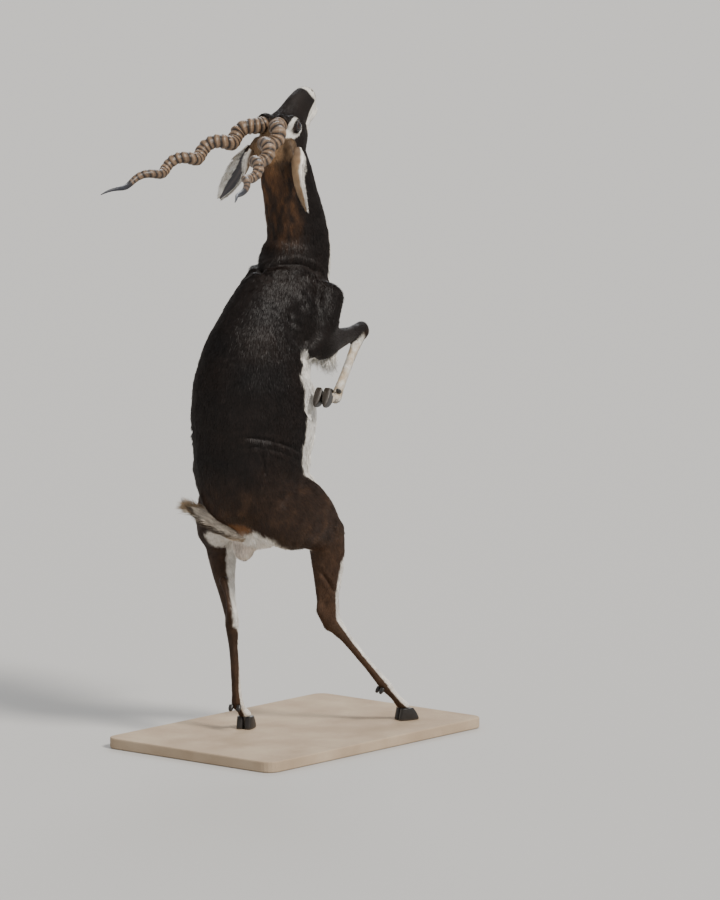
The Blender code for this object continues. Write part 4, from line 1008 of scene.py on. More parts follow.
def unwrap(body):
    """A place on an unwrap of the skin for each point: each region is a strip of its own."""
    animal, on, region, skull = body["animal"], body["head"], body["region"], body["skull"]
    trunk, neck = is_region(body, "trunk"), is_region(body, "neck")
    turn = np.arctan2(body["sideways"] * np.sign(animal[:, 1] + 1e-9), body["ventral"])
    across = (turn / math.pi + 1) / 2
    across = np.where(skull, (np.arctan2(on[:, 1], on[:, 2] + 0.03) / math.pi + 1) / 2, across)
    along = np.where(trunk, (animal[:, 2] - 0.40) / 0.70, body["share"])
    along = np.where(neck, (animal[:, 2] - 1.05) / 0.32, along)
    along = np.where(skull, (on[:, 0] + 0.10) / 0.25, along)
    along = np.clip(along, 0.0, 1.0)
    strips = len(REGIONS) // 2 + 1
    u = 0.50 + (region % 2) * 0.24 + across * 0.2
    v = 0.02 + (region // 2 % strips) * (0.96 / strips) + along * 0.08
    for chosen, low, tall in ((trunk, 0.01, 0.48), (neck, 0.51, 0.22), (skull, 0.75, 0.23)):
        u = np.where(chosen, 0.01 + across * 0.46, u)
        v = np.where(chosen, low + along * tall, v)
    return np.stack([u, v], -1)


def sample_surface(points, faces, density, seed):
    """Roots spread evenly over a surface, more where the density is higher. Gives faces and shares."""
    generator = np.random.default_rng(seed)
    corner = points[faces]
    area = 0.5 * np.linalg.norm(np.cross(corner[:, 1] - corner[:, 0], corner[:, 2] - corner[:, 0]), axis=1)
    weight = area * density[faces].mean(axis=1)
    total = np.cumsum(weight)
    count = int(total[-1])
    spots = (np.arange(count) + generator.random(count)) * (total[-1] / count)
    chosen = np.minimum(np.searchsorted(total, spots), len(faces) - 1)
    a, b = generator.random(count), generator.random(count)
    over = a + b > 1
    a[over], b[over] = 1 - a[over], 1 - b[over]
    return chosen, np.stack([1 - a - b, a, b], -1)


def tuft_faces(rows):
    """One closed tuft's triangles, over rows of three points and a tip."""
    tip = 3 * rows
    last = 3 * (rows - 1)
    faces = [(0, 2, 1)]
    for k in range(rows - 1):
        for i, j in ((0, 1), (1, 2), (2, 0)):
            low_i, low_j = 3 * k + i, 3 * k + j
            faces += [(low_i, low_j, low_j + 3), (low_i, low_j + 3, low_i + 3)]
    faces += [(last, last + 1, tip), (last + 1, last + 2, tip), (last + 2, last, tip)]
    return np.array(faces)


def tuft_patch(rows):
    """One tuft's small patch of the unwrap, as offsets from its root's place."""
    across = [(-0.0012, 0.0012, 0.0)[i % 3] for i in range(3 * rows)] + [0.0]
    along = [-0.0015 + 0.0030 * (i // 3) / rows for i in range(3 * rows)] + [0.0015]
    return np.stack([across, along], -1)


def tuft_shapes(roots, normals, across, lies, shaded, lengths, widths, lifts, rows, droop):
    """The tufts' points, and the ways they are shaded as though they faced."""
    corners = []
    fans = []
    down = np.array([0, 0, -1.0])
    for k in range(rows):
        t = k / rows
        lift = lifts * lengths * (math.sin(t * math.pi / 2) - 0.25 * t * t)
        sunk = 0.0007 * (k == 0)
        centre = roots + lies * (lengths * (t - 0.12))[:, None] + normals * (lift - sunk)[:, None]
        centre = centre + down * (droop * lengths * t * t)[:, None]
        half = (widths * 0.5 * (1 - 0.45 * t))[:, None]
        tall = (widths * 0.32 * (1 - 0.5 * t))[:, None]
        corners += [centre + across * half, centre - across * half, centre + normals * tall]
        fans += [unit(shaded + across * 0.5), unit(shaded - across * 0.5), shaded]
    tip = roots + lies * lengths[:, None] + normals * (0.75 * lifts * lengths)[:, None]
    corners.append(tip + down * (droop * lengths)[:, None])
    fans.append(unit(shaded + lies * 0.2))
    return np.stack(corners, 1).reshape(-1, 3), np.stack(fans, 1).reshape(-1, 3)


def blades(name, roots, normals, lies, lengths, widths, lifts, colours, spots, material, seed,
           rows=1, droop=0.0, soft=True):
    """Closed tapered tufts, each lying along its own way. Lengths, widths, lifts and colours are one for
    each tuft or one for all. More rows give a tuft that bends, and soft ones are shaded like the skin."""
    generator = np.random.default_rng(seed)
    count = len(roots)
    per = 3 * rows + 1
    across = unit(np.cross(normals, lies))
    clump = noise(roots, 0.010, 61)
    lies = unit(lies + across * (generator.normal(0, 0.14, count) + 0.22 * clump)[:, None])
    lies = laid_on(normals, lies)
    across = np.cross(normals, lies)
    lengths = lengths * generator.uniform(0.75, 1.25, count)
    lifts = lifts * generator.uniform(0.4, 1.6, count) * (1 + 0.5 * noise(roots, 0.016, 62))
    tilt = across * generator.normal(0, 0.21, count)[:, None]
    tilt = tilt + lies * generator.normal(0.04, 0.11, count)[:, None]
    shaded = unit(normals + tilt)
    widths = widths * generator.uniform(0.8, 1.2, count)
    points, fans = tuft_shapes(roots, normals, across, lies, shaded, lengths, widths, lifts, rows, droop)
    faces = tuft_faces(rows)
    if signed_volume(points[:per] - points[0], faces) < 0:
        faces = faces[:, ::-1]
    every = (np.arange(count)[:, None, None] * per + faces[None]).reshape(-1, 3)
    mesh = mesh_of(points, every, name)

    shade = (generator.uniform(0.72, 1.28, count) * (1 + 0.30 * clump))[:, None]
    tint = np.repeat(np.asarray(colours) * shade, per, axis=0).reshape(count, per, 3)
    # Each tuft's tip is painted a little lighter, and its lowest row darker as painted shade near the skin.
    tint[:, -1] *= 1.18
    tint[:, :3] *= 0.80
    paint(mesh, tint.reshape(-1, 3))
    uv = (spots[:, None, :] + tuft_patch(rows)[None]).reshape(-1, 2)
    layer = mesh.uv_layers.new(name="OFBake")
    layer.data.foreach_set("uv", uv[every.ravel()].astype(np.float32).ravel())
    if soft:
        mesh.normals_split_custom_set_from_vertices(fans.astype(np.float32))
    return add_piece(name, mesh, material)


def bare_places(points):
    """0 where no coat grows, over the open eyes, nose pad, nostrils and mouth line, and 1 elsewhere."""
    clear = np.ones(len(points))
    for side in (1, -1):
        centre, look, long_way, tall = eye_frame(side)
        away = points - centre
        oval = np.hypot(away @ long_way / EYE_OPEN[0], away @ tall / EYE_OPEN[1])
        clear *= np.where((away @ look > -0.002) & (oval < 1.0), 0.0, 1.0)
    forward, right, raised = on_head(points).T
    bare = (forward > PAD_BACK) & (raised > PAD_LOW) & (raised < PAD_HIGH) & (np.abs(right) < PAD_HALF)
    bare |= slit_distance(points, "nostril") < 1.25
    bare |= mouth_distance(points) < 0.0016
    return clear * np.where(bare, 0.0, 1.0)


def skin_fields(skin):
    """The skin's points, normals, places on the animal and colours."""
    points = coordinates(skin.data)
    body = anatomy(points)
    return points, vertex_normals(skin.data), body, markings(points, body)


def build_coat(skin, material):
    """Short tufts over the whole skin, in pieces by region."""
    points, normals, body, colours = skin_fields(skin)
    faces = triangles(skin.data)
    density = COAT_DENSITY * (LONG_COAT / coat_length(body)) ** 1.05
    density *= bare_places(points)
    chosen, shares = sample_surface(points, faces, density, 5)
    corners = faces[chosen]

    def at(field):
        return np.einsum("ijk,ij->ik", field[corners], shares)

    roots, normals, colours = at(points), unit(at(normals)), at(colours)
    body = anatomy(roots)
    lies = laid_on(normals, body["lie"])
    lengths = coat_length(body)
    spots = unwrap(body)
    for i, (name, start) in enumerate(COAT_PARTS.items()):
        chosen = np.nonzero(is_region(body, start))[0]
        chosen = chosen[np.argsort(roots[chosen, 2])]
        parts = max(1, math.ceil(len(chosen) * 4 / MOST_TRIANGLES))
        for k, some in enumerate(np.array_split(chosen, parts)):
            label = f"coat_{name}" if parts == 1 else f"coat_{name}_{k + 1}"
            widths = 0.15 * lengths[some] + 0.0005
            blades(label, roots[some], normals[some], lies[some], lengths[some], widths, COAT_LIFT,
                   colours[some], spots[some], material, 100 + 10 * i + k)


# Materials


def new_material(name):
    material = bpy.data.materials.new(name)
    material.use_nodes = True
    nodes = material.node_tree.nodes
    return material, nodes, material.node_tree.links, nodes["Principled BSDF"]


def noise_factor(nodes, links, scale, detail, places):
    node = nodes.new("ShaderNodeTexNoise")
    node.inputs["Scale"].default_value = scale
    node.inputs["Detail"].default_value = detail
    links.new(places, node.inputs["Vector"])
    return node.outputs["Fac"]


def multiply(nodes, links, colour, factor, low, high):
    """The colour times a value that the factor moves between low and high."""
    shift = nodes.new("ShaderNodeMapRange")
    shift.inputs["To Min"].default_value = low
    shift.inputs["To Max"].default_value = high
    links.new(factor, shift.inputs["Value"])
    mix = nodes.new("ShaderNodeMix")
    mix.data_type = "RGBA"
    mix.blend_type = "MULTIPLY"
    mix.inputs["Factor"].default_value = 1.0
    links.new(colour, mix.inputs["A"])
    grey = nodes.new("ShaderNodeCombineColor")
    for channel in ("Red", "Green", "Blue"):
        links.new(shift.outputs["Result"], grey.inputs[channel])
    links.new(grey.outputs["Color"], mix.inputs["B"])
    return mix.outputs["Result"]


def layered_material(name, base, layers, settings, bump=None):
    """A base colour times layers of noise, each (scale, detail, darkest, lightest). A bump of (layer,
    strength, distance) raises the surface by one of them."""
    material, nodes, links, shader = new_material(name)
    places = nodes.new("ShaderNodeTexCoord").outputs["Object"]
    colour = base(nodes, links, places)
    factors = [noise_factor(nodes, links, scale, detail, places) for scale, detail, _, _ in layers]
    for factor, (_, _, darkest, lightest) in zip(factors, layers):
        colour = multiply(nodes, links, colour, factor, darkest, lightest)
    links.new(colour, shader.inputs["Base Color"])
    for socket, value in settings.items():
        shader.inputs[socket].default_value = value
    if bump is not None:
        layer, strength, distance = bump
        node = nodes.new("ShaderNodeBump")
        node.inputs["Strength"].default_value = strength
        node.inputs["Distance"].default_value = distance
        links.new(factors[layer], node.inputs["Height"])
        links.new(node.outputs["Normal"], shader.inputs["Normal"])
    return material


def painted(nodes, links, places):
    """The colour that the mesh is painted with."""
    colour = nodes.new("ShaderNodeVertexColor")
    colour.layer_name = "coat"
    return colour.outputs["Color"]


def sand(nodes, links, places):
    """Sand in two tones, in broad patches."""
    ramp = nodes.new("ShaderNodeValToRGB")
    for element, (position, colour) in zip(ramp.color_ramp.elements, SAND_TONES):
        element.position = position
        element.color = colour
    links.new(noise_factor(nodes, links, 9.0, 5.0, places), ramp.inputs["Fac"])
    return ramp.outputs["Color"]


def coat_material(name, roughness, sheen, bump=None):
    settings = {
        "Roughness": roughness, "Specular IOR Level": 0.24, "Sheen Weight": sheen, "Sheen Roughness": 0.35,
        "Sheen Tint": (0.75, 0.58, 0.45, 1.0),
    }
    layers = [(38.0, 4.0, 0.72, 1.28), (420.0, 3.0, 0.80, 1.20)]
    return layered_material(name, painted, layers, settings, bump)


def horn_material(name):
    settings = {"Roughness": 0.42, "Specular IOR Level": 0.5}
    layers = [(260.0, 5.0, 0.60, 1.40), (55.0, 3.0, 0.80, 1.20)]
    return layered_material(name, painted, layers, settings, (0, 0.6, 0.0008))


def eye_material():
    settings = {"Roughness": 0.05, "Specular IOR Level": 0.30, "Coat Weight": 0.25, "Coat Roughness": 0.02}
    return layered_material("eye_glass", painted, [(700.0, 3.0, 0.7, 1.3)], settings)


def board_material():
    layers = [(900.0, 2.0, 0.72, 1.28)]
    return layered_material("sand_board", sand, layers, {"Roughness": 0.88}, (0, 0.7, 0.0012))


# Horns


def horn_way(side):
    level = unit(FORWARD - np.dot(FORWARD, UP) * UP)
    flat = -level * math.cos(HORN_SPREAD) + RIGHTWARD * side * math.sin(HORN_SPREAD)
    return unit(flat * math.cos(HORN_DROP) - UP * math.sin(HORN_DROP))


def horn_centres(side, shares):
    """The middle line of a horn: an open coil round a line that sags a little."""
    straight, upward, turned = square_to(horn_way(side), UP)
    start = head(HORN_AT[0], HORN_AT[1] * side, HORN_AT[2])
    coil = HORN_COIL * np.interp(shares, [-0.03, 0.04, 0.14, 0.6, 0.85, 1], [0.15, 0.3, 1, 0.86, 0.45, 0.1])
    angle = 2 * math.pi * HORN_TURNS * (shares - 0.095) * -side
    sag = 0.004 * np.sin(math.pi * np.clip(shares, 0, 1))
    centre = start + straight * (HORN_LENGTH * shares)[:, None] - upward * sag[:, None]
    swing = np.cos(angle)[:, None] * upward + np.sin(angle)[:, None] * turned
    return centre + coil[:, None] * swing


def horn_radius(share):
    return np.interp(
        share,
        [0, 0.08, 0.33, 0.5, 0.72, 0.88, 0.97, 1],
        [0.0185, 0.0168, 0.0148, 0.0130, 0.0094, 0.0055, 0.0024, 0.0010],
    )


def horn_ring(share, turn, ring_at, height_of):
    """The radius and the colour round a horn at one share of its length."""
    wave = 2 * math.pi * HORN_TURNS * share
    lean = share + 0.0042 * np.sin(turn + wave) + 0.0012 * np.sin(3 * turn + 9 * share)
    cell = np.clip(np.searchsorted(ring_at, lean) - 1, 0, HORN_RIDGES)
    phase = np.clip((lean - ring_at[cell]) / (ring_at[cell + 1] - ring_at[cell]), 0, 1)
    relief = np.interp(share, [0, 0.05, 0.55, 0.78, 0.84], [0.45, 1.0, 0.85, 0.35, 0.0])
    lobe = np.where(phase < 0.62, phase / 0.62, (1 - phase) / 0.38)
    crest = np.sin(math.pi / 2 * lobe) ** 1.35
    strong = 1 + 0.35 * np.sin(turn - wave + 0.8) + 0.20 * height_of[cell]
    high = (crest - 0.50) * 0.175 * relief * strong
    groove = 0.016 * np.sin(turn * 11 + 4 * share) + 0.010 * np.sin(turn * 23 + 31 * share)
    groove = groove * (1 - 0.5 * crest) * relief
    brown = np.array(HORN_BROWN) * (1 + 0.16 * height_of[cell])[:, None]
    # Painted shade: the groove between two rings is painted near black, as its shadow.
    tone = mixed(HORN_GROOVE_SHADE, brown, step(lobe, 0.10, 0.58))
    cracks = np.abs(np.sin(turn * 9 + 14 * share + 2 * height_of[cell]))
    tone = tone * (0.62 + 0.55 * cracks**0.6)[:, None]
    # Painted highlight: the top of each ring's crest is painted paler, as if it caught the light.
    tone = mixed(tone, HORN_CREST_HIGHLIGHT, 0.55 * step(crest, 0.90, 1.0) * relief)
    return horn_radius(share) * (1 + high + groove), mixed(tone, HORN_TIP, step(share, 0.78, 0.90))


def build_horn(name, side, material):
    """A horn with raised, uneven rings, fine cracks along it and a smooth dark tip, with painted shade in
    the grooves between the rings and a painted highlight on their crests.
    """
    shares = np.linspace(-0.012, 1.0, 520)
    centres = horn_centres(side, shares)
    tangents = unit(np.gradient(centres, axis=0))
    across = unit(np.cross(tangents[0], UP))
    turn = circle(40)
    generator = np.random.default_rng(31 + side)
    uneven = generator.normal(0, 0.10, HORN_RIDGES + 2)
    ring_at = (np.arange(HORN_RIDGES + 2) + uneven) * HORN_RINGED / HORN_RIDGES
    height_of = generator.normal(0, 1.0, HORN_RIDGES + 2)
    rings = []
    colours = []
    for centre, tangent, share in zip(centres, tangents, shares):
        across = unit(across - np.dot(across, tangent) * tangent)
        other = np.cross(tangent, across)
        radius, tone = horn_ring(share, turn, ring_at, height_of)
        out = np.cos(turn)[:, None] * across + np.sin(turn)[:, None] * other
        rings.append(centre + radius[:, None] * out)
        colours.append(tone)
    mesh = ring_grid(rings, f"horn_{name}_fine")
    paint_rings(mesh, colours)
    add_piece(f"horn_{name}_fine", mesh, material, f"horn_{name}")


# Eyes


def build_eyeball(name, side, material):
    """A wet eyeball with its domed cornea and wide pupil."""
    centre, look, long_way, tall = eye_frame(side)
    turn = circle(48)
    rings = []
    colours = []
    for polar in np.linspace(0.02, math.pi - 0.02, 40):
        dome = 1 + 0.030 * math.exp(-((polar / 0.55) ** 2))
        radius = EYE_RADIUS * 0.985 * dome
        swing = np.cos(turn)[:, None] * long_way + np.sin(turn)[:, None] * tall
        rings.append(centre + radius * (look * math.cos(polar) + math.sin(polar) * swing))
        x, y = math.sin(polar) * np.cos(turn) / 0.52, math.sin(polar) * np.sin(turn) / 0.34
        pupil = step(1.0 - (np.abs(x) ** 2.6 + np.abs(y) ** 2.6), -0.2, 0.2) * (polar < 1.5)
        iris = np.array(IRIS) * (0.75 + 0.5 * np.abs(np.sin(turn * 17)))[:, None]
        colours.append(mixed(mixed(iris, PUPIL, pupil), EYE_EDGE, step(polar, 0.80, 0.92)))
    mesh = ring_grid(rings, f"eye_{name}_fine")
    paint_rings(mesh, colours)
    add_piece(f"eye_{name}_fine", mesh, material, f"eye_{name}")


def build_lid_rim(name, side, material):
    """The lids' dark rim: a soft band along the almond of the opening, thicker above."""
    centre, look, long_way, tall = eye_frame(side)
    around, thickness = 96, 10
    rings = []
    for t in circle(around):
        x = math.cos(t)
        y = math.sin(t) * (1 - 0.28 * abs(x) ** 3)
        spot = long_way * EYE_LIDS[0] * x + tall * EYE_LIDS[1] * y
        base = centre + spot + look * math.sqrt(max(EYE_RADIUS**2 - spot @ spot, 0.0))
        out = unit(long_way * x + tall * y)
        thick = 0.0016 + 0.0005 * max(math.sin(t), 0)
        rings.append([base + (out * math.cos(q) + look * math.sin(q)) * thick for q in circle(thickness)])
    index = np.arange(around * thickness).reshape(around, thickness)
    quads = band_quads(index, np.roll(index, -1, 0))
    mesh = mesh_of(np.array(rings).reshape(-1, 3), quads, f"lid_rim_eye_{name}_fine")
    face_outward(mesh)
    paint(mesh, SKIN_DARK)
    add_piece(f"lid_rim_eye_{name}_fine", mesh, material)


# Ears


def ear_surface(name, along, turn, inset):
    """Places on the ear: along from root to tip, turn from -1 to 1 across, inset into the cup."""
    side = 1 if name == "right" else -1
    root = head(EAR_ROOT[0], EAR_ROOT[1] * side, EAR_ROOT[2])
    reach = place(*EAR_WAYS[name]) - place(0, 0, 0)
    axis, opening, across = square_to(reach, direction(*EAR_OPENINGS[name]))
    half = np.interp(
        along,
        [0, 0.12, 0.3, 0.5, 0.7, 0.85, 0.95, 1],
        [0.0125, 0.0165, 0.0235, 0.0265, 0.0235, 0.0160, 0.0080, 0.0025],
    )
    wrap = np.radians(np.interp(along, [0, 0.15, 0.35, 0.6, 1], [155, 135, 88, 66, 50]))
    radius = half / np.sin(np.minimum(wrap, math.pi / 2))
    bow = 0.012 * np.sin(math.pi * along)
    t = wrap * turn
    centre = root + axis * (np.linalg.norm(reach) * along)[:, None] - opening * bow[:, None]
    out = np.sin(t)[:, None] * across - np.cos(t)[:, None] * opening
    return centre + opening * radius[:, None] + out * (radius - inset)[:, None], out, axis


def ear_back(points, along, turn):
    """The colour of the ear's back: brown at its root, tan above and white along its edges."""
    patchy = noise(points, 0.010, 41)
    colour = mixed(BROWN, TAN, step(along + 0.06 * patchy, 0.0, 0.45))
    colour = mixed(colour, CREAM, np.clip(0.12 + 0.10 * patchy, 0, 1))
    return mixed(colour, WHITE, step(np.abs(turn) + 0.06 * patchy, 0.76, 0.90))


def build_ear_shell(name, material):
    """The ear's thin cup, with low ridges inside."""
    spans, sides = 60, 34
    along = np.repeat(np.linspace(0, 1, spans), sides)
    turn = np.tile(np.linspace(-1, 1, sides), spans)
    wall = np.interp(along, [0, 0.3, 1], [0.0030, 0.0022, 0.0014])
    ridge = 0.0010 * np.sin(turn * 9) * np.sin(math.pi * np.minimum(along * 1.15, 1)) * (np.abs(turn) < 0.8)
    outside = ear_surface(name, along, turn, EAR_SKIN)[0]
    inside = ear_surface(name, along, turn, EAR_SKIN + wall + np.maximum(ridge, 0))[0]
    count = spans * sides
    index = np.arange(count).reshape(spans, sides)
    quads = np.stack([index[:-1, :-1], index[:-1, 1:], index[1:, 1:], index[1:, :-1]], -1).reshape(-1, 4)
    faces = [quads, quads[:, ::-1] + count]
    for edge in (index[:, 0], index[::-1, -1], index[-1, :], index[0, ::-1]):
        faces.append(np.stack([edge[1:], edge[:-1], edge[:-1] + count, edge[1:] + count], -1))
    mesh = mesh_of(np.vstack([outside, inside]), np.vstack(faces), f"ear_{name}_fine")
    face_outward(mesh)
    # Inside the cup: dark grey in the hollow, partly the skin's own grey and partly painted shade, turning
    # cream towards the rims, partly painted sunlight.
    front = mixed(EAR_CUP_GREY_AND_SHADE, CREAM, step(np.abs(turn), 0.60, 0.92))
    front = mixed(front, EAR_RIDGE, 0.30 * step(np.sin(turn * 9), 0.2, 1.0) * step(along, 0.1, 0.4))
    paint(mesh, np.vstack([ear_back(outside, along, turn), front]))
    add_piece(f"ear_{name}_fine", mesh, material, f"ear_{name}")


def build_ear_fur(name, material):
    """Fur on the ear's back, hairs in its cup and a pale fringe at both edges."""
    generator = np.random.default_rng(51 if name == "right" else 52)
    many, few, fringe = amount(2600), amount(1100), amount(900)
    back = (generator.uniform(0.02, 0.98, many), generator.uniform(-0.98, 0.98, many))
    cup_along = generator.uniform(0.08, 0.95, few)
    cup = (cup_along, generator.uniform(0.55, 0.99, few) * generator.choice([-1, 1], few))
    edge = (generator.uniform(0.05, 0.99, fringe), generator.choice([-1.0, 1.0], fringe))

    # Roots, the side they stand on, inset into the cup, length, width and lift
    sets = [(back, 1, EAR_SKIN, 0.0058, 0.0011, 0.16), (cup, -1, 0.0028, 0.0095, 0.0010, 0.22),
            (edge, 0, 0.0016, 0.0080, 0.0011, 0.10)]
    for k, ((along, turn), face, inset, length, width, lift) in enumerate(sets):
        spot, out, axis = ear_surface(name, along, turn, inset)
        edgeward = unit(spot - ear_surface(name, along, turn * 0.9, inset)[0])
        lie = unit(axis + edgeward * (0.25 if face else 0.75))
        normal = out * face if face else unit(np.cross(lie, np.cross(out, lie)))
        colour = ear_back(spot, along, turn) if face == 1 else WHITE
        strip = 0.22 if name == "left" else 0.0
        uv = np.stack([0.52 + 0.2 * (turn + 1) / 2 + strip, 0.90 + 0.08 * along], -1)
        blades(f"ear_{name}_fur_{k + 1}", spot, normal, lie, length, width, lift, colour, uv, material,
               60 + k, rows=1 if face == 1 else 2, soft=face != 0)


# Hooves and dewclaws


def foot_frames():
    """Each foot's name, claw tip, toe and up ways, fetlock, and the ways back and down from it."""
    for side in ("right", "left"):
        toe = direction(*HIND_TOES[side])
        fetlock = place(*LIMBS[f"hind_{side}"][FETLOCK][:3])
        yield "hind", side, place(*HIND_TIPS[side]) + UP * GAP, toe, UP, fetlock, -toe, -UP
    for side in ("right", "left"):
        fetlock = place(*LIMBS[f"fore_{side}"][FETLOCK][:3])
        tip = place(*FORE_TIPS[side])
        pastern = unit(tip - fetlock)
        front = unit(np.dot(UP, pastern) * pastern - UP)
        toe = math.cos(FORE_CLAW_SLANT) * pastern + math.sin(FORE_CLAW_SLANT) * front
        up = math.cos(FORE_CLAW_SLANT) * front - math.sin(FORE_CLAW_SLANT) * pastern
        yield "fore", side, tip, toe, up, fetlock, -front, pastern


def frame_matrix(centre, *ways):
    matrix = np.eye(4)
    matrix[:3, :3] = np.stack(ways, -1)
    matrix[:3, 3] = centre
    return Matrix(matrix.tolist())


def claw_mesh(side, name):
    """One claw with growth lines round its wall: x runs to the toe, z up, with the origin at the tip."""
    outline = smooth_rows(CLAW_OUTLINE, 4)
    skew = unit([1.0, side * 0.035, 0.0])
    cross = np.array([-skew[1], skew[0], 0.0])
    heel = np.array([0.001 - CLAW_LONG, side * CLAW_SPREAD, 0.0])
    heights = [0, 0.001, 0.006, 0.017, CLAW_TALL]
    rings = []
    for height in np.concatenate([[0.0, 0.0006, 0.0016], np.linspace(0.003, CLAW_TALL, 22)]):
        scale = np.interp(height, heights, [0.965, 0.995, 0.985, 0.83, 0.62])
        narrow = np.interp(height, heights, [0.92, 0.985, 1.0, 0.97, 0.88])
        shift = np.interp(height, [0, 0.006, 0.017, CLAW_TALL], [0.0, 0.0003, 0.0025, 0.0045])
        line = 1 + 0.010 * math.sin(height * GROWTH_LINES) * (height > 0.002)
        centre = heel + np.array([0.0, 0.0, height])
        near = [centre + skew * (x * scale + shift) + cross * w * narrow * line for x, w in outline]
        far = [centre + skew * (x * scale + shift) - cross * w * narrow * line for x, w in outline[::-1]]
        rings.append(near + far)
    return ring_grid(rings, name)


def dewclaw_mesh(side, name):
    """One dewclaw: a blunt oval peg behind and below the fetlock."""
    start = np.array([0.002, side * 0.0095, 0.0125])
    way = np.array([0.013, 0.0, 0.008])
    turn = circle(16)[:, None]
    _, across, other = square_to(way, (0.0, 1.0, 0.0))
    rings = []
    for t in np.linspace(0, 1, 9):
        wide = np.interp(t, [0, 0.55, 0.85, 1], [0.0056, 0.0060, 0.0046, 0.0026])
        deep = np.interp(t, [0, 0.55, 0.85, 1], [0.0048, 0.0048, 0.0036, 0.0020])
        rings.append(start + way * t + np.cos(turn) * across * wide + np.sin(turn) * other * deep)
    return ring_grid(rings, name)


def build_feet(material):
    for end, name, tip, toe, up, fetlock, back, down in foot_frames():
        side_way = np.cross(up, toe)
        axis, across, out = square_to(down, side_way)
        handed = 1 if np.dot(out, back) > 0 else -1
        inward_first = (name == "right") == (end == "hind")
        for label, side in zip(("inner", "outer") if inward_first else ("outer", "inner"), (1, -1)):
            claw = claw_mesh(side, f"hoof_{end}_{name}_{label}_fine")
            dewclaw = dewclaw_mesh(side * handed, f"dewclaw_{end}_{name}_{label}_fine")
            placed = (("hoof", claw, frame_matrix(tip, toe, side_way, up)),
                      ("dewclaw", dewclaw, frame_matrix(fetlock, axis, across * handed, out * handed)))
            for kind, mesh, turned in placed:
                height = coordinates(mesh)[:, 2]
                worn = mixed(HOOF_DARK, HOOF_WORN, 0.6 * step(0.005 - height, 0.0, 0.005))
                paint(mesh, worn * (0.85 + 0.3 * np.sin(height * GROWTH_LINES) ** 2)[:, None])
                mesh.transform(turned)
                add_piece(mesh.name, mesh, material, f"{kind}_{end}_{name}_{label}")


# Tail


def tail_line():
    """The tail's smooth rows, their middles, the ways along them and the way across the tail."""
    rows = tail_rows(TAIL, 8)
    centres = rows[:, :3]
    return rows, centres, unit(np.gradient(centres, axis=0)), direction(*TAIL_FLAT)


def build_tail_core(material):
    rows, centres, tangents, side = tail_line()
    turn = circle(20)[:, None]
    rings = []
    for centre, tangent, row in zip(centres, tangents, rows):
        flat = unit(side - np.dot(side, tangent) * tangent)
        thick = np.cross(flat, tangent)
        out = row[3] * np.cos(turn) * flat + row[4] * np.sin(turn) * thick
        rings.append(centre + TAIL_CORE * out)
    mesh = ring_grid(rings, "tail_core")
    paint(mesh, TAN)
    add_piece("tail_core", mesh, material, "tail")


def build_tail_hair(material):
    """Long hair round the tail's core: buff above, white below, with a dark edge."""
    rows, centres, tangents, side = tail_line()
    generator = np.random.default_rng(77)
    many = amount(5200)
    where = (0.26 + 0.74 * generator.uniform(0.0, 1.0, many) ** 0.9) * (len(rows) - 1)
    low = np.minimum(where.astype(int), len(rows) - 2)
    part = (where - low)[:, None]
    centre = centres[low] * (1 - part) + centres[low + 1] * part
    tangent = unit(tangents[low] * (1 - part) + tangents[low + 1] * part)
    wide, deep = (((rows[low, 3:] * (1 - part) + rows[low + 1, 3:] * part) * TAIL_CORE).T)[..., None]
    flat = unit(side - np.einsum("j,ij->i", side, tangent)[:, None] * tangent)
    thick = np.cross(flat, tangent)
    angle = generator.uniform(0, 2 * math.pi, many)
    sine, cosine = np.sin(angle), np.cos(angle)
    normal = unit(cosine[:, None] * flat / wide + sine[:, None] * thick / deep)
    roots = centre + cosine[:, None] * flat * wide + sine[:, None] * thick * deep
    share = where / (len(rows) - 1)
    normal = unit(normal + tangent * (0.60 * step(share, 0.60, 1.0))[:, None])
    edge = np.abs(cosine)
    lengths = (0.010 + 0.028 * share) * (0.75 + 0.45 * edge)
    lies = unit(tangent + flat * (cosine * 0.30 * edge)[:, None])

    below = step(-cosine, 0.72, 0.95)
    colours = mixed(CREAM, TAN, np.clip(0.45 + 0.5 * noise(roots, 0.006, 71), 0, 1))
    colours = mixed(colours, RUFOUS, step(0.42 - share, 0.0, 0.2) * step(cosine, -0.3, 0.3) * 0.9)
    colours = mixed(colours, TAIL_DARK, below * step(share, 0.34, 0.46) * 0.9)
    colours = mixed(colours, WHITE, step(sine, 0.3, 0.8) * 0.5)
    uv = np.stack([0.76 + 0.2 * angle / (2 * math.pi), 0.01 + 0.09 * share], -1)
    blades("tail_hair_tufts", roots, normal, lies, lengths, 0.0016, 0.20, colours, uv, material, 78,
           rows=3, soft=False)


def build_long_hair(skin, material):
    """Longer hair behind the elbows, on the flank folds and on the belly's middle."""
    points, normals, body, skin_colours = skin_fields(skin)
    generator = np.random.default_rng(91)
    for k, (spot, radius, full, length, lie, lift, white) in enumerate(LONG_HAIR):
        count = amount(full)
        close = np.linalg.norm(body["animal"] - np.array(spot), axis=1) < radius
        if white:
            close &= normals[:, 2] < -0.15
        near = np.nonzero(close)[0]
        if len(near) < 20:
            continue
        some = generator.choice(near, count)
        roots = points[some] + generator.normal(0, 0.0008, (count, 3))
        ways = laid_on(normals[some], direction(*lie))
        colours = WHITE if white else skin_colours[some]
        blades(f"long_hair_{k + 1}", roots, normals[some], ways, length, 0.0014, lift, colours,
               unwrap(anatomy(roots)), material, 92 + k, rows=3, droop=0.12, soft=False)


# Stage


def toward(way):
    """The rotation of a light or camera that looks this way."""
    return Vector(way).to_track_quat("-Z", "Y").to_euler()


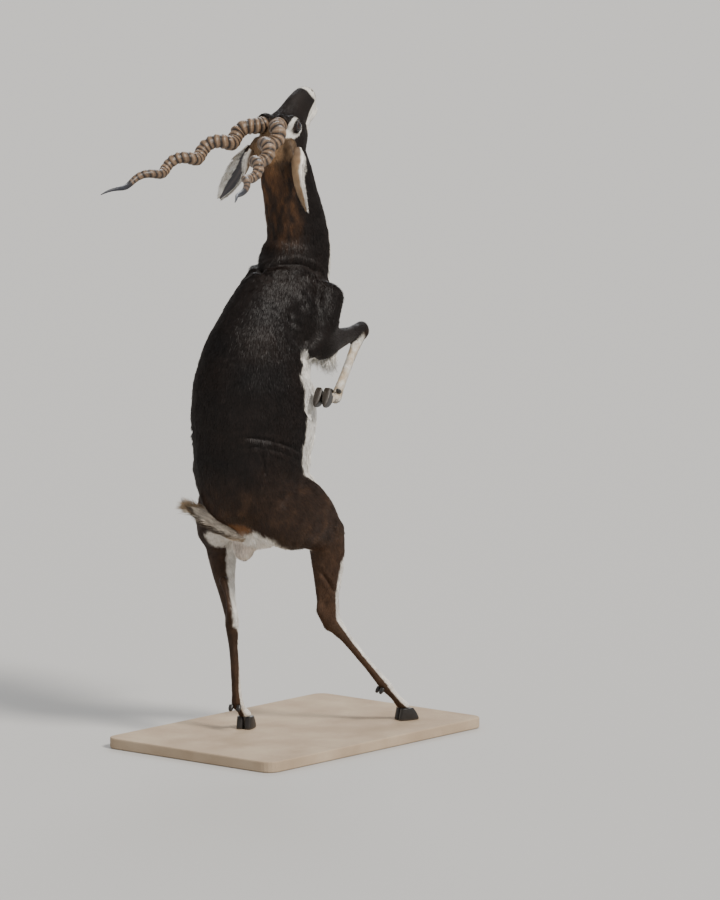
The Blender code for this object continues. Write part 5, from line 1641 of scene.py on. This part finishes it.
def build_stage():
    """A plain pale floor, an even surround and two wide, soft, far lights."""
    material, _, _, shader = new_material("pale_floor")
    shader.inputs["Base Color"].default_value = FLOOR_COLOUR
    shader.inputs["Roughness"].default_value = 0.9
    square = ((-1, -1), (1, -1), (1, 1), (-1, 1))
    corners = [(x * FLOOR_REACH, y * FLOOR_REACH, FLOOR_AT) for x, y in square]
    floor = add_object("floor", mesh_of(np.array(corners), np.array([(0, 1, 2, 3)]), "floor"), material)
    world = bpy.data.worlds.new("studio")
    bpy.context.scene.world = world
    world.use_nodes = True
    background = world.node_tree.nodes["Background"]
    background.inputs["Color"].default_value = SURROUND
    background.inputs["Strength"].default_value = SURROUND_STRENGTH
    for name, (comes_from, width, strength, colour) in SUNS.items():
        light = bpy.data.lights.new(name, "SUN")
        light.angle = math.radians(width)
        light.energy = strength
        light.color = colour
        sun = bpy.data.objects.new(name, light)
        bpy.context.scene.collection.objects.link(sun)
        sun.rotation_euler = toward(-np.array(comes_from))


def build_camera():
    back = np.array([
        math.sin(CAMERA_AZIMUTH) * math.cos(CAMERA_ELEVATION),
        -math.cos(CAMERA_AZIMUTH) * math.cos(CAMERA_ELEVATION),
        math.sin(CAMERA_ELEVATION),
    ])
    data = bpy.data.cameras.new("camera")
    data.sensor_fit = "VERTICAL"
    data.sensor_height = SENSOR
    data.lens = SENSOR * CAMERA_AWAY * PIXELS_PER_METRE / PICTURE_TALL
    data.clip_end = 100.0
    camera = bpy.data.objects.new("camera", data)
    bpy.context.scene.collection.objects.link(camera)
    camera.location = Vector(np.array(CAMERA_AIM) + back * CAMERA_AWAY)
    camera.rotation_euler = toward(-back)
    bpy.context.scene.camera = camera


def main():
    fur = coat_material("fur", 0.44, 0.03)
    rim = coat_material("wet_skin", 0.30, 0.0, (1, 0.5, 0.0006))
    horn = horn_material("horn_keratin")
    eye = eye_material()
    skin = build_skin(coat_material("skin_coat", 0.60, 0.02, (1, 0.5, 0.0006)))
    build_coat(skin, fur)
    build_long_hair(skin, fur)
    for name, side in (("right", 1), ("left", -1)):
        build_horn(name, side, horn)
        build_eyeball(name, side, eye)
        build_lid_rim(name, side, rim)
        build_ear_shell(name, fur)
        build_ear_fur(name, fur)
    build_feet(horn_material("hoof_keratin"))
    build_tail_core(fur)
    build_tail_hair(fur)
    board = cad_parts["stand_base"]
    board.data.materials.clear()
    board.data.materials.append(board_material())
    build_stage()
    build_camera()


main()
